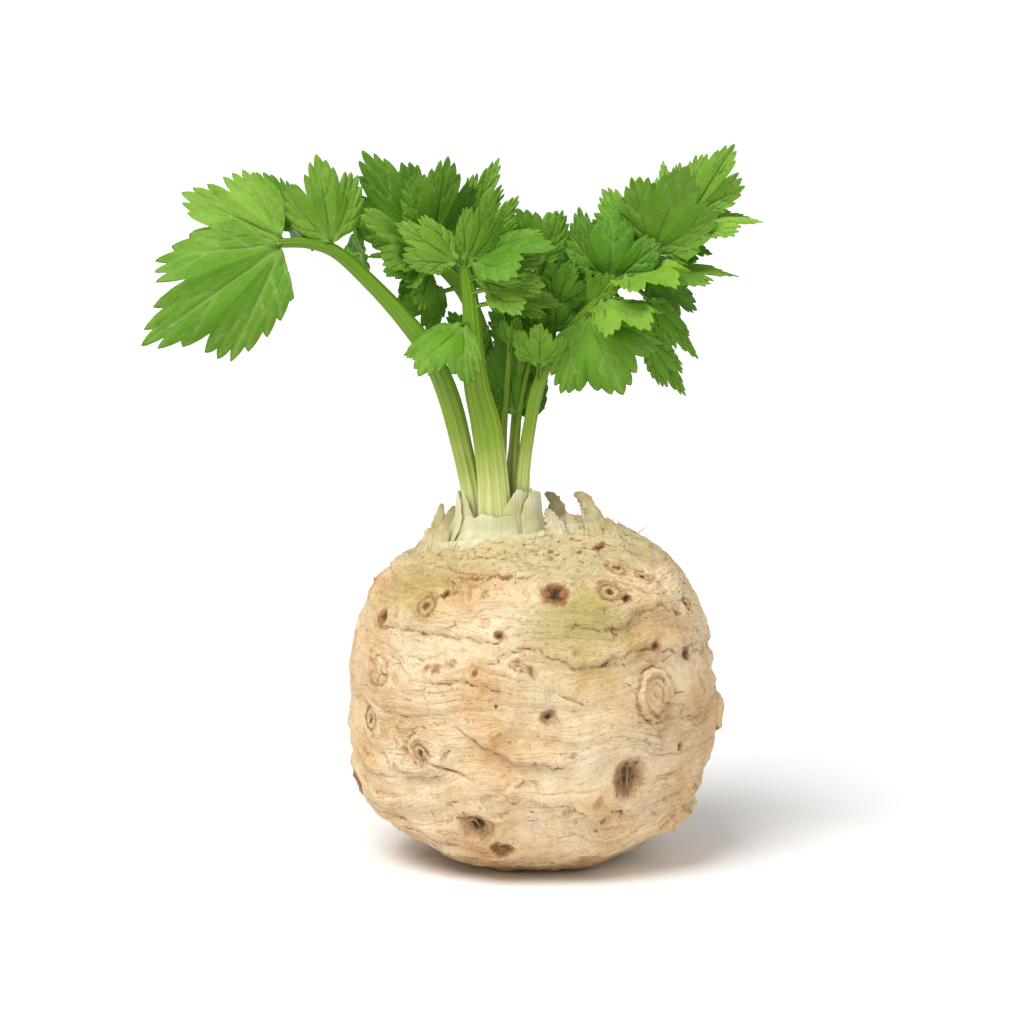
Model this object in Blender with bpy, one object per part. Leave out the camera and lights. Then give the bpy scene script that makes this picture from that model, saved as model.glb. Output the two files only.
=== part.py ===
"""Celeriac root with its leaf stalks, leaflets and torn leaf bases: the solid construction.

Metres, +Z up. The origin is the centre of the small flat spot that the root rests on, and the
front, where the big ringed scar is, looks along -Y. Run it with
blender --background --python part.py, or from Blender's text editor.
"""

import math

import bmesh
import bpy
from mathutils import Vector, noise

MM = 0.001
GAP = 0.4  # millimetres between a piece and the one that it grows from
UP = Vector((0, 0, 1))

# The swollen root, in millimetres.
ROOT_CENTRE = Vector((1.5, 0, 52))
ROOT_HALF = (57.5, 55.5)  # half its width, left to right and front to back
ROOT_ABOVE, ROOT_BELOW = 52, 53.2  # from the centre to the crown and to the underside
ROOT_SQUARENESS = 2.7  # 2 is an ellipsoid, and more is boxier
ROOT_CUTS = 12  # subdivisions of each face of the ball it starts from
SWELL = 1.5  # height of the broad, slow swellings
SWELL_PITCH = 1.7  # how close together they are
# Lumps and hollows: azimuth in degrees from the front, height, size, and half angle in degrees.
LUMPS = (
    (84, 47, 3.4, 9),
    (63, 19, 2.6, 11),
    (-79, 27, 2.8, 12),
    (-22, 14, 1.8, 14),
    (150, 34, 3.0, 12),
    (-140, 62, 2.4, 14),
    (118, 78, 2.2, 12),
    (-165, 22, 2.6, 13),
    (25, 68, 1.6, 12),
    (5, 58, -1.4, 10),
    (33, 34, -1.2, 9),
)
# Swellings of the crown: centre in X and Y, size, half angle in degrees.
CROWN_SWELLINGS = (
    (-9, 0, 2.6, 22),
    (17, 10, 4.0, 14),
    (4, 24, 1.5, 14),
)
# Flats where the root was trimmed with a knife: outward direction and distance from the centre.
# A flat keeps a fifth of the roundness that it replaces.
TRIM_DEPTH = 0.8
TRIMS = (
    ((-0.50, -0.30, -0.82), 58.0),
    ((0.60, -0.30, -0.74), 58.5),
    ((0.30, 0.55, -0.78), 58.0),
    ((-0.45, 0.60, -0.66), 58.5),
)

# The seat on the crown, where the leaf bases grow.
SEAT_CENTRE = Vector((-9.3, -0.5, 0))
SEAT_HALF = (17.5, 15.5)
SEAT_HEIGHT = 103.5
SEAT_SLOPE = 0.6  # how fast the root may rise outside the seat

STALK_SIDES = 10
STALK_RINGS = 13
SHORT_WAY = 0.01  # the share of a line that is taken as straight, to find where it heads
# Each leaf stalk: its route in millimetres from the crown to where its last leaflets leave it,
# and its half width and half thickness at the foot, at a third of the way and at the end.
STALKS = {
    "stalk_left": (
        ((-16, 0, 104), (-17, -1, 116), (-20, -3, 131), (-24, -5, 147), (-30, -6, 161),
         (-38, -7, 172), (-48, -8, 183), (-59, -9, 193), (-68, -10, 196), (-77, -11, 196)),
        ((3.7, 3.3), (4.0, 2.9), (1.6, 1.4)),
    ),
    "stalk_middle": (
        ((-10, -7, 104), (-11, -7, 122), (-13, -8, 138), (-16, -8, 151), (-17, -8, 163),
         (-18, -7, 178), (-20, -6, 190)),
        ((4.8, 2.7), (4.5, 2.5), (1.8, 1.5)),
    ),
    "stalk_back": (
        ((-12, 6, 104), (-10, 8, 125), (-10, 12, 144), (-13, 14, 159), (-18, 13, 174),
         (-25, 11, 184), (-33, 9, 190)),
        ((3.3, 2.7), (2.9, 2.3), (1.7, 1.4)),
    ),
    "stalk_right_inner": (
        ((-5, 4, 104), (-5, 4, 123), (-4, 3, 139), (-3, 3, 152), (-1, 2, 165), (1, 2, 177),
         (5, 2, 189)),
        ((2.3, 2.1), (1.9, 1.7), (1.3, 1.2)),
    ),
    "stalk_right_outer": (
        ((-2, -2, 104), (-2, -2, 121), (0, -3, 137), (3, -4, 151), (8, -5, 162), (15, -6, 171),
         (23, -6, 179), (32, -5, 186), (41, -3, 193), (50, 0, 201)),
        ((2.6, 2.4), (2.3, 2.1), (1.3, 1.2)),
    ),
}

BLADE_THICKNESS = 0.8
BLADE_ARCH = 0.5  # how far a blade's sides fall away from its midline
STEM_HALF_WIDTH = 1.0  # of a leaflet's own little stem
BLADE_ROWS = (0.5, 1.0)  # from the end of the little stem to the margin
# Half of a blade's outline, seen from the end of its little stem: degrees from its midline and
# reach. The tips of its three lobes are at 0 and 44 degrees, and a notch lies between them.
BLADE_OUTLINE = ((0, 1.0), (11, 0.88), (23, 0.70), (44, 0.84), (76, 0.50))
BLADE_WIDEST = 0.58  # the furthest that the outline lies from the midline
AT_END = 0.98  # from this share of the way on, a leaflet continues its stalk
ASIDE = 0.85  # and before it, a leaflet leaves mostly at a right angle
# Each leaflet: its stalk and the share of the way along it, the tip, the way that its upper face
# looks (azimuth from the front and elevation, in degrees), its width, the share of its length
# that is stem, and how far it bows towards its upper face. Millimetres.
LEAFLETS = {
    "leaflet_left_low": ("stalk_left", 1.00, (-118, -25, 166), (0, 10), 37, 0.05, 4),
    "leaflet_left_high": ("stalk_left", 1.00, (-108, 0, 211), (-5, 15), 28, 0.05, 3),
    "leaflet_left_round": ("stalk_left", 0.90, (-85, 10, 216), (15, 10), 14, 0.15, 2),
    "leaflet_left_mid": ("stalk_left", 0.80, (-65, -15, 223), (5, 10), 23, 0.05, 2),
    "leaflet_left_back": ("stalk_left", 0.90, (-83, 30, 204), (170, 30), 22, 0.15, 3),
    "leaflet_left_rear": ("stalk_left", 0.70, (-56, 45, 206), (160, 25), 24, 0.20, 3),
    "leaflet_back_left": ("stalk_back", 1.00, (-52, 10, 222), (-15, 40), 26, 0.10, 3),
    "leaflet_back_top": ("stalk_back", 0.95, (-39, 25, 218), (0, 35), 22, 0.15, 3),
    "leaflet_back_mid": ("stalk_back", 0.95, (-25, 0, 222), (15, 30), 22, 0.15, 2),
    "leaflet_back_right": ("stalk_back", 0.85, (-9, 15, 220), (25, 40), 12, 0.30, 2),
    "leaflet_back_low": ("stalk_back", 0.95, (-50, -25, 206), (-10, 35), 20, 0.10, 2),
    "leaflet_back_fold": ("stalk_back", 0.90, (-44, -10, 185), (-20, 15), 24, 0.15, 4),
    "leaflet_back_side": ("stalk_back", 0.75, (-40, 10, 170), (-40, 40), 22, 0.20, 4),
    "leaflet_back_rear": ("stalk_back", 0.70, (-23, 40, 187), (170, 50), 28, 0.20, 4),
    "leaflet_middle_top": ("stalk_middle", 1.00, (-11, -20, 212), (10, 25), 13, 0.10, 2),
    "leaflet_middle_right": ("stalk_middle", 1.00, (-3, -5, 210), (30, 45), 10, 0.25, 2),
    "leaflet_middle_arch": ("stalk_middle", 0.95, (8, -25, 197), (5, 50), 22, 0.10, 6),
    "leaflet_middle_curl": ("stalk_middle", 0.85, (5, -20, 184), (25, 35), 18, 0.20, 4),
    "leaflet_middle_side": ("stalk_middle", 0.80, (11, -10, 178), (15, 55), 14, 0.30, 3),
    "leaflet_middle_low": ("stalk_middle", 0.75, (-34, -25, 157), (-25, 25), 24, 0.10, 5),
    "leaflet_inner_left": ("stalk_right_inner", 0.95, (-3, -5, 206), (-10, 20), 24, 0.10, 2),
    "leaflet_inner_top": ("stalk_right_outer", 0.65, (16, 15, 203), (5, 15), 18, 0.10, 2),
    "leaflet_inner_back": ("stalk_right_inner", 0.90, (8, 20, 200), (175, 30), 20, 0.20, 3),
    "leaflet_inner_low": ("stalk_right_outer", 0.35, (4, -20, 172), (0, 25), 16, 0.25, 2),
    "leaflet_inner_young": ("stalk_right_inner", 0.45, (-9, 10, 163), (-10, 20), 14, 0.30, 2),
    "leaflet_outer_inside": ("stalk_right_outer", 0.45, (10, 0, 184), (-5, 20), 14, 0.20, 2),
    "leaflet_outer_tip": ("stalk_right_outer", 1.00, (64, 0, 225), (-5, 25), 18, 0.20, 2),
    "leaflet_outer_tip_left": ("stalk_right_outer", 0.95, (48, 20, 219), (10, 20), 11, 0.30, 2),
    "leaflet_outer_tip_right": ("stalk_right_outer", 1.00, (69, 5, 203), (10, 50), 9, 0.20, 2),
    "leaflet_outer_point": ("stalk_right_outer", 0.95, (72, -10, 203), (15, 55), 10, 0.15, 3),
    "leaflet_outer_side": ("stalk_right_outer", 0.90, (57, -5, 192), (15, 50), 14, 0.10, 2),
    "leaflet_outer_spear": ("stalk_right_outer", 0.80, (65, -5, 185), (5, 55), 11, 0.15, 3),
    "leaflet_outer_side_low": ("stalk_right_outer", 0.80, (52, 5, 173), (20, 30), 18, 0.15, 2),
    "leaflet_outer_big": ("stalk_right_outer", 0.85, (49, -15, 220), (5, 25), 28, 0.05, 3),
    "leaflet_outer_high": ("stalk_right_outer", 0.85, (22, 10, 212), (-20, 25), 18, 0.20, 3),
    "leaflet_outer_high_right": ("stalk_right_outer", 0.85, (39, 0, 213), (-5, 20), 18, 0.20, 2),
    "leaflet_outer_dark": ("stalk_right_outer", 0.70, (27, -10, 205), (-10, 20), 28, 0.05, 3),
    "leaflet_outer_pale": ("stalk_right_outer", 0.75, (45, -30, 185), (15, 50), 22, 0.10, 4),
    "leaflet_outer_pale_low": ("stalk_right_outer", 0.65, (37, -30, 170), (20, 35), 20, 0.10, 5),
    "leaflet_outer_low": ("stalk_right_outer", 0.60, (29, -20, 150), (-5, 10), 34, 0.05, 5),
    "leaflet_outer_lower_side": ("stalk_right_outer", 0.75, (53, -10, 160), (20, 40), 12, 0.30, 4),
    "leaflet_outer_hanging": ("stalk_right_outer", 0.70, (49, 0, 147), (10, 15), 10, 0.50, 4),
    "leaflet_outer_rear": ("stalk_right_outer", 0.85, (35, 40, 184), (175, 45), 28, 0.20, 4),
    "leaflet_outer_rear_low": ("stalk_right_outer", 0.65, (18, 30, 172), (170, 40), 24, 0.25, 4),
}

SHEATH_THICKNESS = 0.8
SHEATH_HALF = (13.7, 11.9)  # of the ring that the white leaf bases stand on
SHEATH_LEAN = 0.04  # the share of its radius that a leaf base leans inwards
SHEATH_SPREAD = 1.3  # how much further than an arc its middle stands up
# Each torn white leaf base: the arc that it covers, in degrees from the front, and the height of
# its torn edge at its start, middle and end.
SHEATHS = {
    "sheath_left": ((-128, -62), (8, 15, 9)),
    "sheath_front": ((-56, 28), (7, 5, 8)),
    "sheath_right": ((34, 112), (10, 15, 9)),
    "sheath_back": ((120, 222), (8, 12, 7)),
}

# Dry remnants of older leaves round the crown: foot, middle and tip, and half width at the foot.
REMNANT_RINGS = 5
REMNANT_FLATNESS = 0.5  # its thickness over its width at the foot
REMNANT_THIRD = (0.7, 0.4)  # half width and half thickness a third of the way up, over the foot's
REMNANT_TIP = (0.4, 0.35)
REMNANT_CLEARANCE = 0.9  # how far its foot stands off the sloping crown, over its half width
REMNANTS = {
    "remnant_left": ((-31.5, -2), (-28.5, -2, 105.5), (-27.0, -2, 113.0), 2.4),
    "remnant_right_front": ((9.5, -10), (7.6, -9.5, 108.5), (5.6, -9, 112.5), 2.5),
    "remnant_right": ((22, 2), (18.4, 4, 112.5), (14.6, 6, 115.0), 2.3),
    "remnant_right_back": ((10, 19), (8.5, 20, 110.5), (5.5, 20, 113.0), 2.0),
    "remnant_back": ((-14, 24), (-13.5, 22.5, 107.5), (-13, 20.5, 112.5), 2.2),
}


def material(name, colour, roughness):
    """A Principled BSDF with one colour, given as linear red, green and blue."""
    made = bpy.data.materials.new(name)
    made.use_nodes = True
    shader = made.node_tree.nodes["Principled BSDF"]
    shader.inputs["Base Color"].default_value = (*colour, 1)
    shader.inputs["Roughness"].default_value = roughness
    return made


def finish(name, bm, skin, smooth_below=50):
    """Makes the bmesh, in millimetres, an object in metres with its faces pointing out."""
    bmesh.ops.scale(bm, vec=(MM, MM, MM), verts=bm.verts)
    bmesh.ops.recalc_face_normals(bm, faces=bm.faces)
    mesh = bpy.data.meshes.new(name)
    bm.to_mesh(mesh)
    bm.free()
    mesh.shade_smooth()
    mesh.set_sharp_from_angle(angle=math.radians(smooth_below))
    mesh.materials.append(skin)
    made = bpy.data.objects.new(name, mesh)
    bpy.context.scene.collection.objects.link(made)
    return made


def thicken(made, thickness):
    """Gives a sheet its thickness, half to each side."""
    solidify = made.modifiers.new("thickness", "SOLIDIFY")
    solidify.thickness = thickness * MM
    solidify.offset = 0
    return made


def radial(azimuth):
    """The level direction at this azimuth in degrees, counted from the front towards +X."""
    turned = math.radians(azimuth)
    return Vector((math.sin(turned), -math.cos(turned), 0))


def profile_radius(height):
    """Half the root's width at a height."""
    reach = ROOT_ABOVE if height > ROOT_CENTRE.z else ROOT_BELOW
    share = min(1, abs(height - ROOT_CENTRE.z) / reach)
    return ROOT_HALF[0] * (1 - share**ROOT_SQUARENESS) ** (1 / ROOT_SQUARENESS)


def towards(azimuth, height):
    """The direction from the root's centre to the skin at an azimuth and height."""
    level = radial(azimuth) * profile_radius(height)
    return (level + UP * (height - ROOT_CENTRE.z)).normalized()


def bump(direction, centre, size, half_angle):
    """A smooth lump of this size, centred on a direction."""
    spread = direction.angle(centre, 0) / math.radians(half_angle)
    return size * math.exp(-spread * spread)


def root_point(direction):
    """The skin of the root in a unit direction from its centre."""
    reach = ROOT_ABOVE if direction.z > 0 else ROOT_BELOW
    level = math.hypot(direction.x / ROOT_HALF[0], direction.y / ROOT_HALF[1])
    upright = abs(direction.z) / reach
    radius = (level**ROOT_SQUARENESS + upright**ROOT_SQUARENESS) ** (-1 / ROOT_SQUARENESS)
    for normal, distance in TRIMS:
        towards_flat = direction.dot(Vector(normal).normalized())
        if towards_flat > 0:
            radius -= max(0, radius - distance / towards_flat) * TRIM_DEPTH
    radius += SWELL * noise.fractal(direction * SWELL_PITCH, 1.0, 2.0, 3)
    for azimuth, height, size, half_angle in LUMPS:
        radius += bump(direction, towards(azimuth, height), size, half_angle)
    for x, y, size, half_angle in CROWN_SWELLINGS:
        radius += bump(direction, Vector((x, y, ROOT_ABOVE)).normalized(), size, half_angle)
    return ROOT_CENTRE + direction * radius


def seat_limit(point):
    """How high the root may reach above this point, so that the leaf bases have a level seat."""
    across = (point.x - SEAT_CENTRE.x) / SEAT_HALF[0]
    deep = (point.y - SEAT_CENTRE.y) / SEAT_HALF[1]
    outside = max(0, math.hypot(across, deep) - 1) * SEAT_HALF[0]
    return SEAT_HEIGHT + SEAT_SLOPE * outside


def root():
    """The root: a ball from a subdivided cube, swollen, lumpy and cut flat where it rests."""
    bm = bmesh.new()
    bmesh.ops.create_cube(bm, size=2)
    bmesh.ops.subdivide_edges(bm, edges=bm.edges[:], cuts=ROOT_CUTS, use_grid_fill=True)
    for vert in bm.verts:
        # The tangent spaces the cube's grid evenly over the ball.
        even = Vector(math.tan(part * math.pi / 4) for part in vert.co)
        place = root_point(even.normalized())
        place.z = min(place.z, seat_limit(place))
        vert.co = place
    everything = bm.verts[:] + bm.edges[:] + bm.faces[:]
    bmesh.ops.bisect_plane(bm, geom=everything, plane_co=(0, 0, 0), plane_no=UP, clear_inner=True)
    bmesh.ops.holes_fill(bm, edges=bm.edges, sides=0)
    return finish("root", bm, material("root_skin", (0.68, 0.50, 0.27), 0.6))


def along(points, share):
    """The point at a share of the way along a smooth line through these points."""
    last = len(points) - 1
    place = min(max(share, 0), 1) * last
    i = min(int(place), last - 1)
    t = place - i
    a, b = Vector(points[max(i - 1, 0)]), Vector(points[i])
    c, d = Vector(points[i + 1]), Vector(points[min(i + 2, last)])
    slope, curve, twist = c - a, 2 * a - 5 * b + 4 * c - d, 3 * b - a - 3 * c + d
    return 0.5 * (2 * b + slope * t + curve * t**2 + twist * t**3)


def heading(points, share):
    """The direction of a smooth line at a share of the way along it."""
    near, far = max(share - SHORT_WAY, 0), min(share + SHORT_WAY, 1)
    return (along(points, far) - along(points, near)).normalized()


def halves_at(halves, share):
    """Half width and half thickness at a share of the way, from their foot, third and end."""
    foot, third, end = (Vector(pair) for pair in halves)
    if share < 1 / 3:
        return foot.lerp(third, share * 3)
    return third.lerp(end, (share - 1 / 3) * 1.5)


def sweep(name, points, halves, rings, skin):
    """A solid with an elliptical section that follows a smooth line, level at its foot."""
    bm = bmesh.new()
    bmesh.ops.create_cone(
        bm, cap_ends=True, segments=STALK_SIDES, radius1=1, radius2=1, depth=1
    )
    upright = [edge for edge in bm.edges if abs(edge.verts[0].co.z - edge.verts[1].co.z) > 0.5]
    bmesh.ops.subdivide_edges(bm, edges=upright, cuts=rings - 1, use_grid_fill=True)
    for vert in bm.verts:
        share = vert.co.z + 0.5
        forward = UP if share < SHORT_WAY else heading(points, share)
        wide = Vector((0, 1, 0)).cross(forward).normalized()
        deep = forward.cross(wide)
        half = halves_at(halves, share)
        vert.co = along(points, share) + wide * vert.co.x * half.x + deep * vert.co.y * half.y
    return finish(name, bm, skin)


def facing(azimuth, elevation):
    """A direction from an azimuth counted from the front and an elevation, in degrees."""
    tilt = math.radians(elevation)
    return radial(azimuth) * math.cos(tilt) + UP * math.sin(tilt)


def leaflet(name, stalk, share, tip, face, width, stem, bow, skin):
    """A leaflet: a thin blade that fans out from a little stem, lobed, and bowed along its length."""
    points, halves = STALKS[stalk]
    start = along(points, share)
    normal = facing(*face)
    tip = Vector(tip)
    aside = tip - start
    if share < AT_END:
        ahead = heading(points, share)
        aside -= ahead * aside.dot(ahead) * ASIDE
    clear = halves_at(halves, share).x + BLADE_THICKNESS / 2 + GAP
    start = start + aside.normalized() * clear
    middle = (start + tip) / 2 + normal * bow
    bm = bmesh.new()
    columns = len(BLADE_OUTLINE) - 1
    rows = len(BLADE_ROWS) + 1
    grid = bmesh.ops.create_grid(bm, x_segments=2 * columns, y_segments=rows, size=1)
    for vert in grid["verts"]:
        fan = vert.co.x
        row = round((vert.co.y + 1) / 2 * rows)
        degrees, outline = BLADE_OUTLINE[round(abs(fan) * columns)]
        angle = math.copysign(math.radians(degrees), fan)
        out = 0 if row < 2 else BLADE_ROWS[row - 2]
        length = stem * min(row, 1) + (1 - stem) * outline * out * math.cos(angle)
        across = outline * out * math.sin(angle) * width / (2 * BLADE_WIDEST)
        across += fan * STEM_HALF_WIDTH * (1 - out)
        forward = (middle - start) * 2 * (1 - length) + (tip - middle) * 2 * length
        side = normal.cross(forward).normalized()
        spine = start * (1 - length) ** 2 + middle * 2 * length * (1 - length) + tip * length**2
        fall = forward.cross(side).normalized() * (across**2 / width) * BLADE_ARCH
        vert.co = spine + side * across - fall
    return thicken(finish(name, bm, skin), BLADE_THICKNESS)


def sheath(name, arc, heights, skin):
    """A torn white leaf base: a thin upright wall on the seat, its edge higher and lower."""
    bm = bmesh.new()
    grid = bmesh.ops.create_grid(bm, x_segments=8, y_segments=2, size=1)
    foot = SEAT_HEIGHT + GAP
    for vert in grid["verts"]:
        share = (vert.co.x + 1) / 2
        rise = (vert.co.y + 1) / 2
        low, mid, high = heights
        height = low * (1 - share) ** 2 + high * share**2
        height += mid * 2 * share * (1 - share) * SHEATH_SPREAD
        level = radial(arc[0] + (arc[1] - arc[0]) * share)
        lean = 1 - SHEATH_LEAN * rise
        x, y = level.x * SHEATH_HALF[0] * lean, level.y * SHEATH_HALF[1] * lean
        vert.co = SEAT_CENTRE + Vector((x, y, foot + height * rise))
    return thicken(finish(name, bm, skin), SHEATH_THICKNESS)


def skin_height(x, y):
    """The height of the root's crown above a place."""
    place = Vector((x, y, 0)) - ROOT_CENTRE
    place.z = ROOT_ABOVE
    for _ in range(8):  # the skin's slope moves the point that is above the place
        point = root_point(place.normalized())
        place.z = min(point.z, seat_limit(point)) - ROOT_CENTRE.z
    return ROOT_CENTRE.z + place.z


def remnant(name, foot, middle, tip, half, skin):
    """A dry, pointed remnant of an older leaf, which stands on the crown."""
    start = (*foot, skin_height(*foot) + half * REMNANT_CLEARANCE)
    third = (half * REMNANT_THIRD[0], half * REMNANT_THIRD[1])
    halves = ((half, half * REMNANT_FLATNESS), third, REMNANT_TIP)
    return sweep(name, (start, middle, tip), halves, REMNANT_RINGS, skin)


def build():
    for old in list(bpy.data.objects):
        bpy.data.objects.remove(old)
    stalk_green = material("stalk_green", (0.20, 0.36, 0.04), 0.4)
    leaf_green = material("leaf_green", (0.10, 0.27, 0.02), 0.45)
    sheath_white = material("sheath_white", (0.72, 0.70, 0.42), 0.5)
    remnant_tan = material("remnant_tan", (0.50, 0.36, 0.14), 0.7)
    root()
    for name, (points, halves) in STALKS.items():
        sweep(name, points, halves, STALK_RINGS, stalk_green)
    for name, row in LEAFLETS.items():
        leaflet(name, *row, leaf_green)
    for name, row in SHEATHS.items():
        sheath(name, *row, sheath_white)
    for name, row in REMNANTS.items():
        remnant(name, *row, remnant_tan)


build()
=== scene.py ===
"""A celeriac root with its leaf stalks and leaflets: the looks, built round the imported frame."""

import math
import random

import bmesh
import bpy
import numpy as np
from mathutils import Matrix, Vector, noise


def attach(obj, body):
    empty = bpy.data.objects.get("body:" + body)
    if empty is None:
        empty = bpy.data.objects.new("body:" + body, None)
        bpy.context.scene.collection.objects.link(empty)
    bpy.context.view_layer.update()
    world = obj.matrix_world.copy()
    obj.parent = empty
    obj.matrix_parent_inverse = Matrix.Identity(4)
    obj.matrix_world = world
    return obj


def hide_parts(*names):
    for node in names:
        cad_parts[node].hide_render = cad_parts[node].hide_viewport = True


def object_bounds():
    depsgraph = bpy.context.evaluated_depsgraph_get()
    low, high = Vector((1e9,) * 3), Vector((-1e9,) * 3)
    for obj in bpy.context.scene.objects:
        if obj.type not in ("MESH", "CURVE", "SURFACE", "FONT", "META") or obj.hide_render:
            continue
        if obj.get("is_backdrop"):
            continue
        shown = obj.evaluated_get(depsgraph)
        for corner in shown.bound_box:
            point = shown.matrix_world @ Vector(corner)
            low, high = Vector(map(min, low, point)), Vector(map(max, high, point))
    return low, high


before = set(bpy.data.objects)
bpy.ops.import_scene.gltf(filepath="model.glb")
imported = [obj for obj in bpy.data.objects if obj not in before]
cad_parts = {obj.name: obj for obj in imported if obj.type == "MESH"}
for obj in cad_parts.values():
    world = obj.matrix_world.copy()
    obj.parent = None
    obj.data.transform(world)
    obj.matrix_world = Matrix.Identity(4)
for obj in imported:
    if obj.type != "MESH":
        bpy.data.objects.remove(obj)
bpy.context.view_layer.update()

# ---------------------------------------------------------------------------------------------
# The root. It is one swollen mass of firm flesh in a thin corky skin, creased all round where it
# grew in steps. The side roots were cut off flush, which leaves ringed stubs, pits and rusty
# spots, and knife cuts underneath leave flats and the small face that it rests on.

MM = 0.001
ROOT_CENTRE = np.array((1.5, 0, 52))
ROOT_HALF = (57.5, 55.5)  # half its width, left to right and front to back
ROOT_ABOVE, ROOT_BELOW = 52, 53.2  # from the centre to the crown and to the underside
ROOT_SQUARENESS = 2.7
ROOT_CUTS = 127  # gives a vertex about every 0.7 mm
SWELL, SWELL_COUNT = 1.5, 1.7  # broad swellings: how high, and how many to a half width
# Lumps and hollows: azimuth in degrees from the front, height, size, and half angle in degrees.
LUMPS = (
    (84, 47, 3.4, 9),
    (63, 19, 2.6, 11),
    (-79, 27, 2.8, 12),
    (-22, 14, 1.8, 14),
    (150, 34, 3.0, 12),
    (-140, 62, 2.4, 14),
    (118, 78, 2.2, 12),
    (-165, 22, 2.6, 13),
    (25, 68, 1.6, 12),
    (5, 58, -1.4, 10),
    (33, 34, -1.2, 9),
)
# Swellings of the crown: place from left to right and front to back, size, and half angle.
CROWN_SWELLINGS = ((-9, 0, 2.6, 22), (17, 10, 4.0, 14), (4, 24, 1.5, 14))
# The flats that a knife left underneath: which way each looks, and how far it is from the centre.
TRIM_SHARE = 0.8  # of what stood out beyond a flat, which is cut away
TRIMS = (
    ((-0.50, -0.30, -0.82), 58.0),
    ((0.60, -0.30, -0.74), 58.5),
    ((0.30, 0.55, -0.78), 58.0),
    ((-0.45, 0.60, -0.66), 58.5),
)
SEAT_CENTRE = np.array((-9.3, -0.5, 0))  # the middle of the leaf bases
SEAT_HALF = (15.5, 13.6)
SEAT_HEIGHT, SEAT_SLOPE = 103.4, 0.7  # and how much the skin may rise outwards round it

# The marks in the skin, most of them left by a side root: kind, azimuth, height, half width, half
# height, and tilt in degrees.
SCARS = (
    ("stub", 42, 60, 7.0, 7.8, 8),
    ("pit", 33, 34, 5.6, 7.6, 0),
    ("pit", 5, 55.5, 2.8, 2.4, 20),
    ("pit", -20, 19.5, 6.4, 4.4, -10),
    ("rust", -12, 12, 4.6, 3.4, -25),
    ("ring", -38, 42, 4.0, 3.8, 0),
    ("patch", -47, 43, 8.0, 3.2, -18),
    ("ring", -64, 49, 5.2, 5.6, 0),
    ("stub", -58, 65.4, 4.4, 4.2, 0),
    ("bud", -49, 64, 2.2, 2.6, 0),
    ("patch", -33, 69, 5.4, 3.0, 20),
    ("bud", -27, 71, 2.6, 2.0, 30),
    ("ring", -5, 72, 3.0, 2.0, -12),
    ("patch", 1, 70, 6.5, 3.2, -16),
    ("bud", 14, 75.4, 1.7, 1.6, 0),
    ("crease", 25, 72.4, 6.4, 1.1, 22),
    ("rust", 44, 75, 2.5, 2.2, 0),
    ("rust", 9, 92.4, 5.6, 4.8, 0),
    ("ring", 33, 92.2, 4.8, 4.4, -20),
    ("rust", 38, 89.6, 2.2, 1.8, 0),
    ("ring", 45, 97.4, 4.2, 4.0, 0),
    ("ring", 55, 94.4, 3.5, 3.3, 0),
    ("bud", 22, 97.5, 1.5, 1.2, 0),
    ("rust", 50, 101.5, 4.4, 1.8, 8),
    ("bud", 66, 99, 2.0, 1.4, 0),
    ("bud", -10, 99.5, 1.6, 1.2, 0),
    ("crease", -16, 101, 5.0, 0.9, 6),
    ("crease", 12, 100, 4.0, 0.8, -8),
    ("ring", -43, 87, 4.8, 4.8, 0),
    ("rust", -60, 81, 3.0, 3.0, 0),
    ("patch", -27, 92, 9.0, 5.2, 14),
    ("bud", -17, 84, 2.4, 2.2, 0),
    ("rust", 54, 41.8, 2.0, 2.0, 0),
    ("stub", 86, 47.4, 6.2, 6.0, 0),
    ("stub", 66, 18, 9.5, 4.6, 14),
    ("rust", -78, 27, 7.2, 5.4, 0),
    ("bud", -36, 16.5, 1.6, 1.5, 0),
    ("patch", -10, 49, 5.2, 2.6, -30),
    ("patch", -2, 33.6, 7.0, 2.2, 0),
    ("crease", 48, 34, 9.0, 0.9, 4),
    ("crease", -28, 37, 16.0, 0.9, -16),
    ("crease", 12, 61, 7.0, 0.8, -24),
    ("patch", 70, 62, 4.6, 5.8, 0),
    ("bud", 76, 70, 2.2, 3.0, 0),
    ("ring", 72, 84, 3.4, 3.0, 0),
    ("pit", 104, 66, 4.0, 3.2, 12),
    ("ring", 112, 88, 4.2, 3.6, 0),
    ("rust", 120, 40, 5.2, 4.2, 0),
    ("stub", 136, 58, 7.0, 6.6, 0),
    ("bud", 128, 74, 2.2, 2.0, 0),
    ("pit", 152, 30, 6.0, 4.6, -15),
    ("patch", 146, 84, 8.0, 3.6, 10),
    ("ring", 164, 66, 4.0, 4.4, 0),
    ("rust", 172, 48, 2.6, 2.4, 0),
    ("crease", 178, 76, 12.0, 1.0, -10),
    ("ring", -176, 90, 4.0, 3.4, 0),
    ("stub", -160, 24, 7.6, 5.6, 0),
    ("pit", -152, 52, 3.4, 3.0, 0),
    ("patch", -150, 76, 6.4, 3.4, -12),
    ("rust", -138, 38, 3.4, 3.0, 0),
    ("ring", -132, 66, 5.0, 4.8, 0),
    ("bud", -126, 88, 2.4, 2.0, 0),
    ("pit", -116, 44, 5.4, 4.0, 18),
    ("crease", -108, 30, 11.0, 1.0, 10),
    ("ring", -104, 74, 3.6, 3.8, 0),
    ("rust", -96, 56, 2.8, 2.4, 0),
    ("ring", -88, 86, 3.4, 3.0, 0),
    ("rust", 96, 26, 3.8, 3.0, 0),
)
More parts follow.
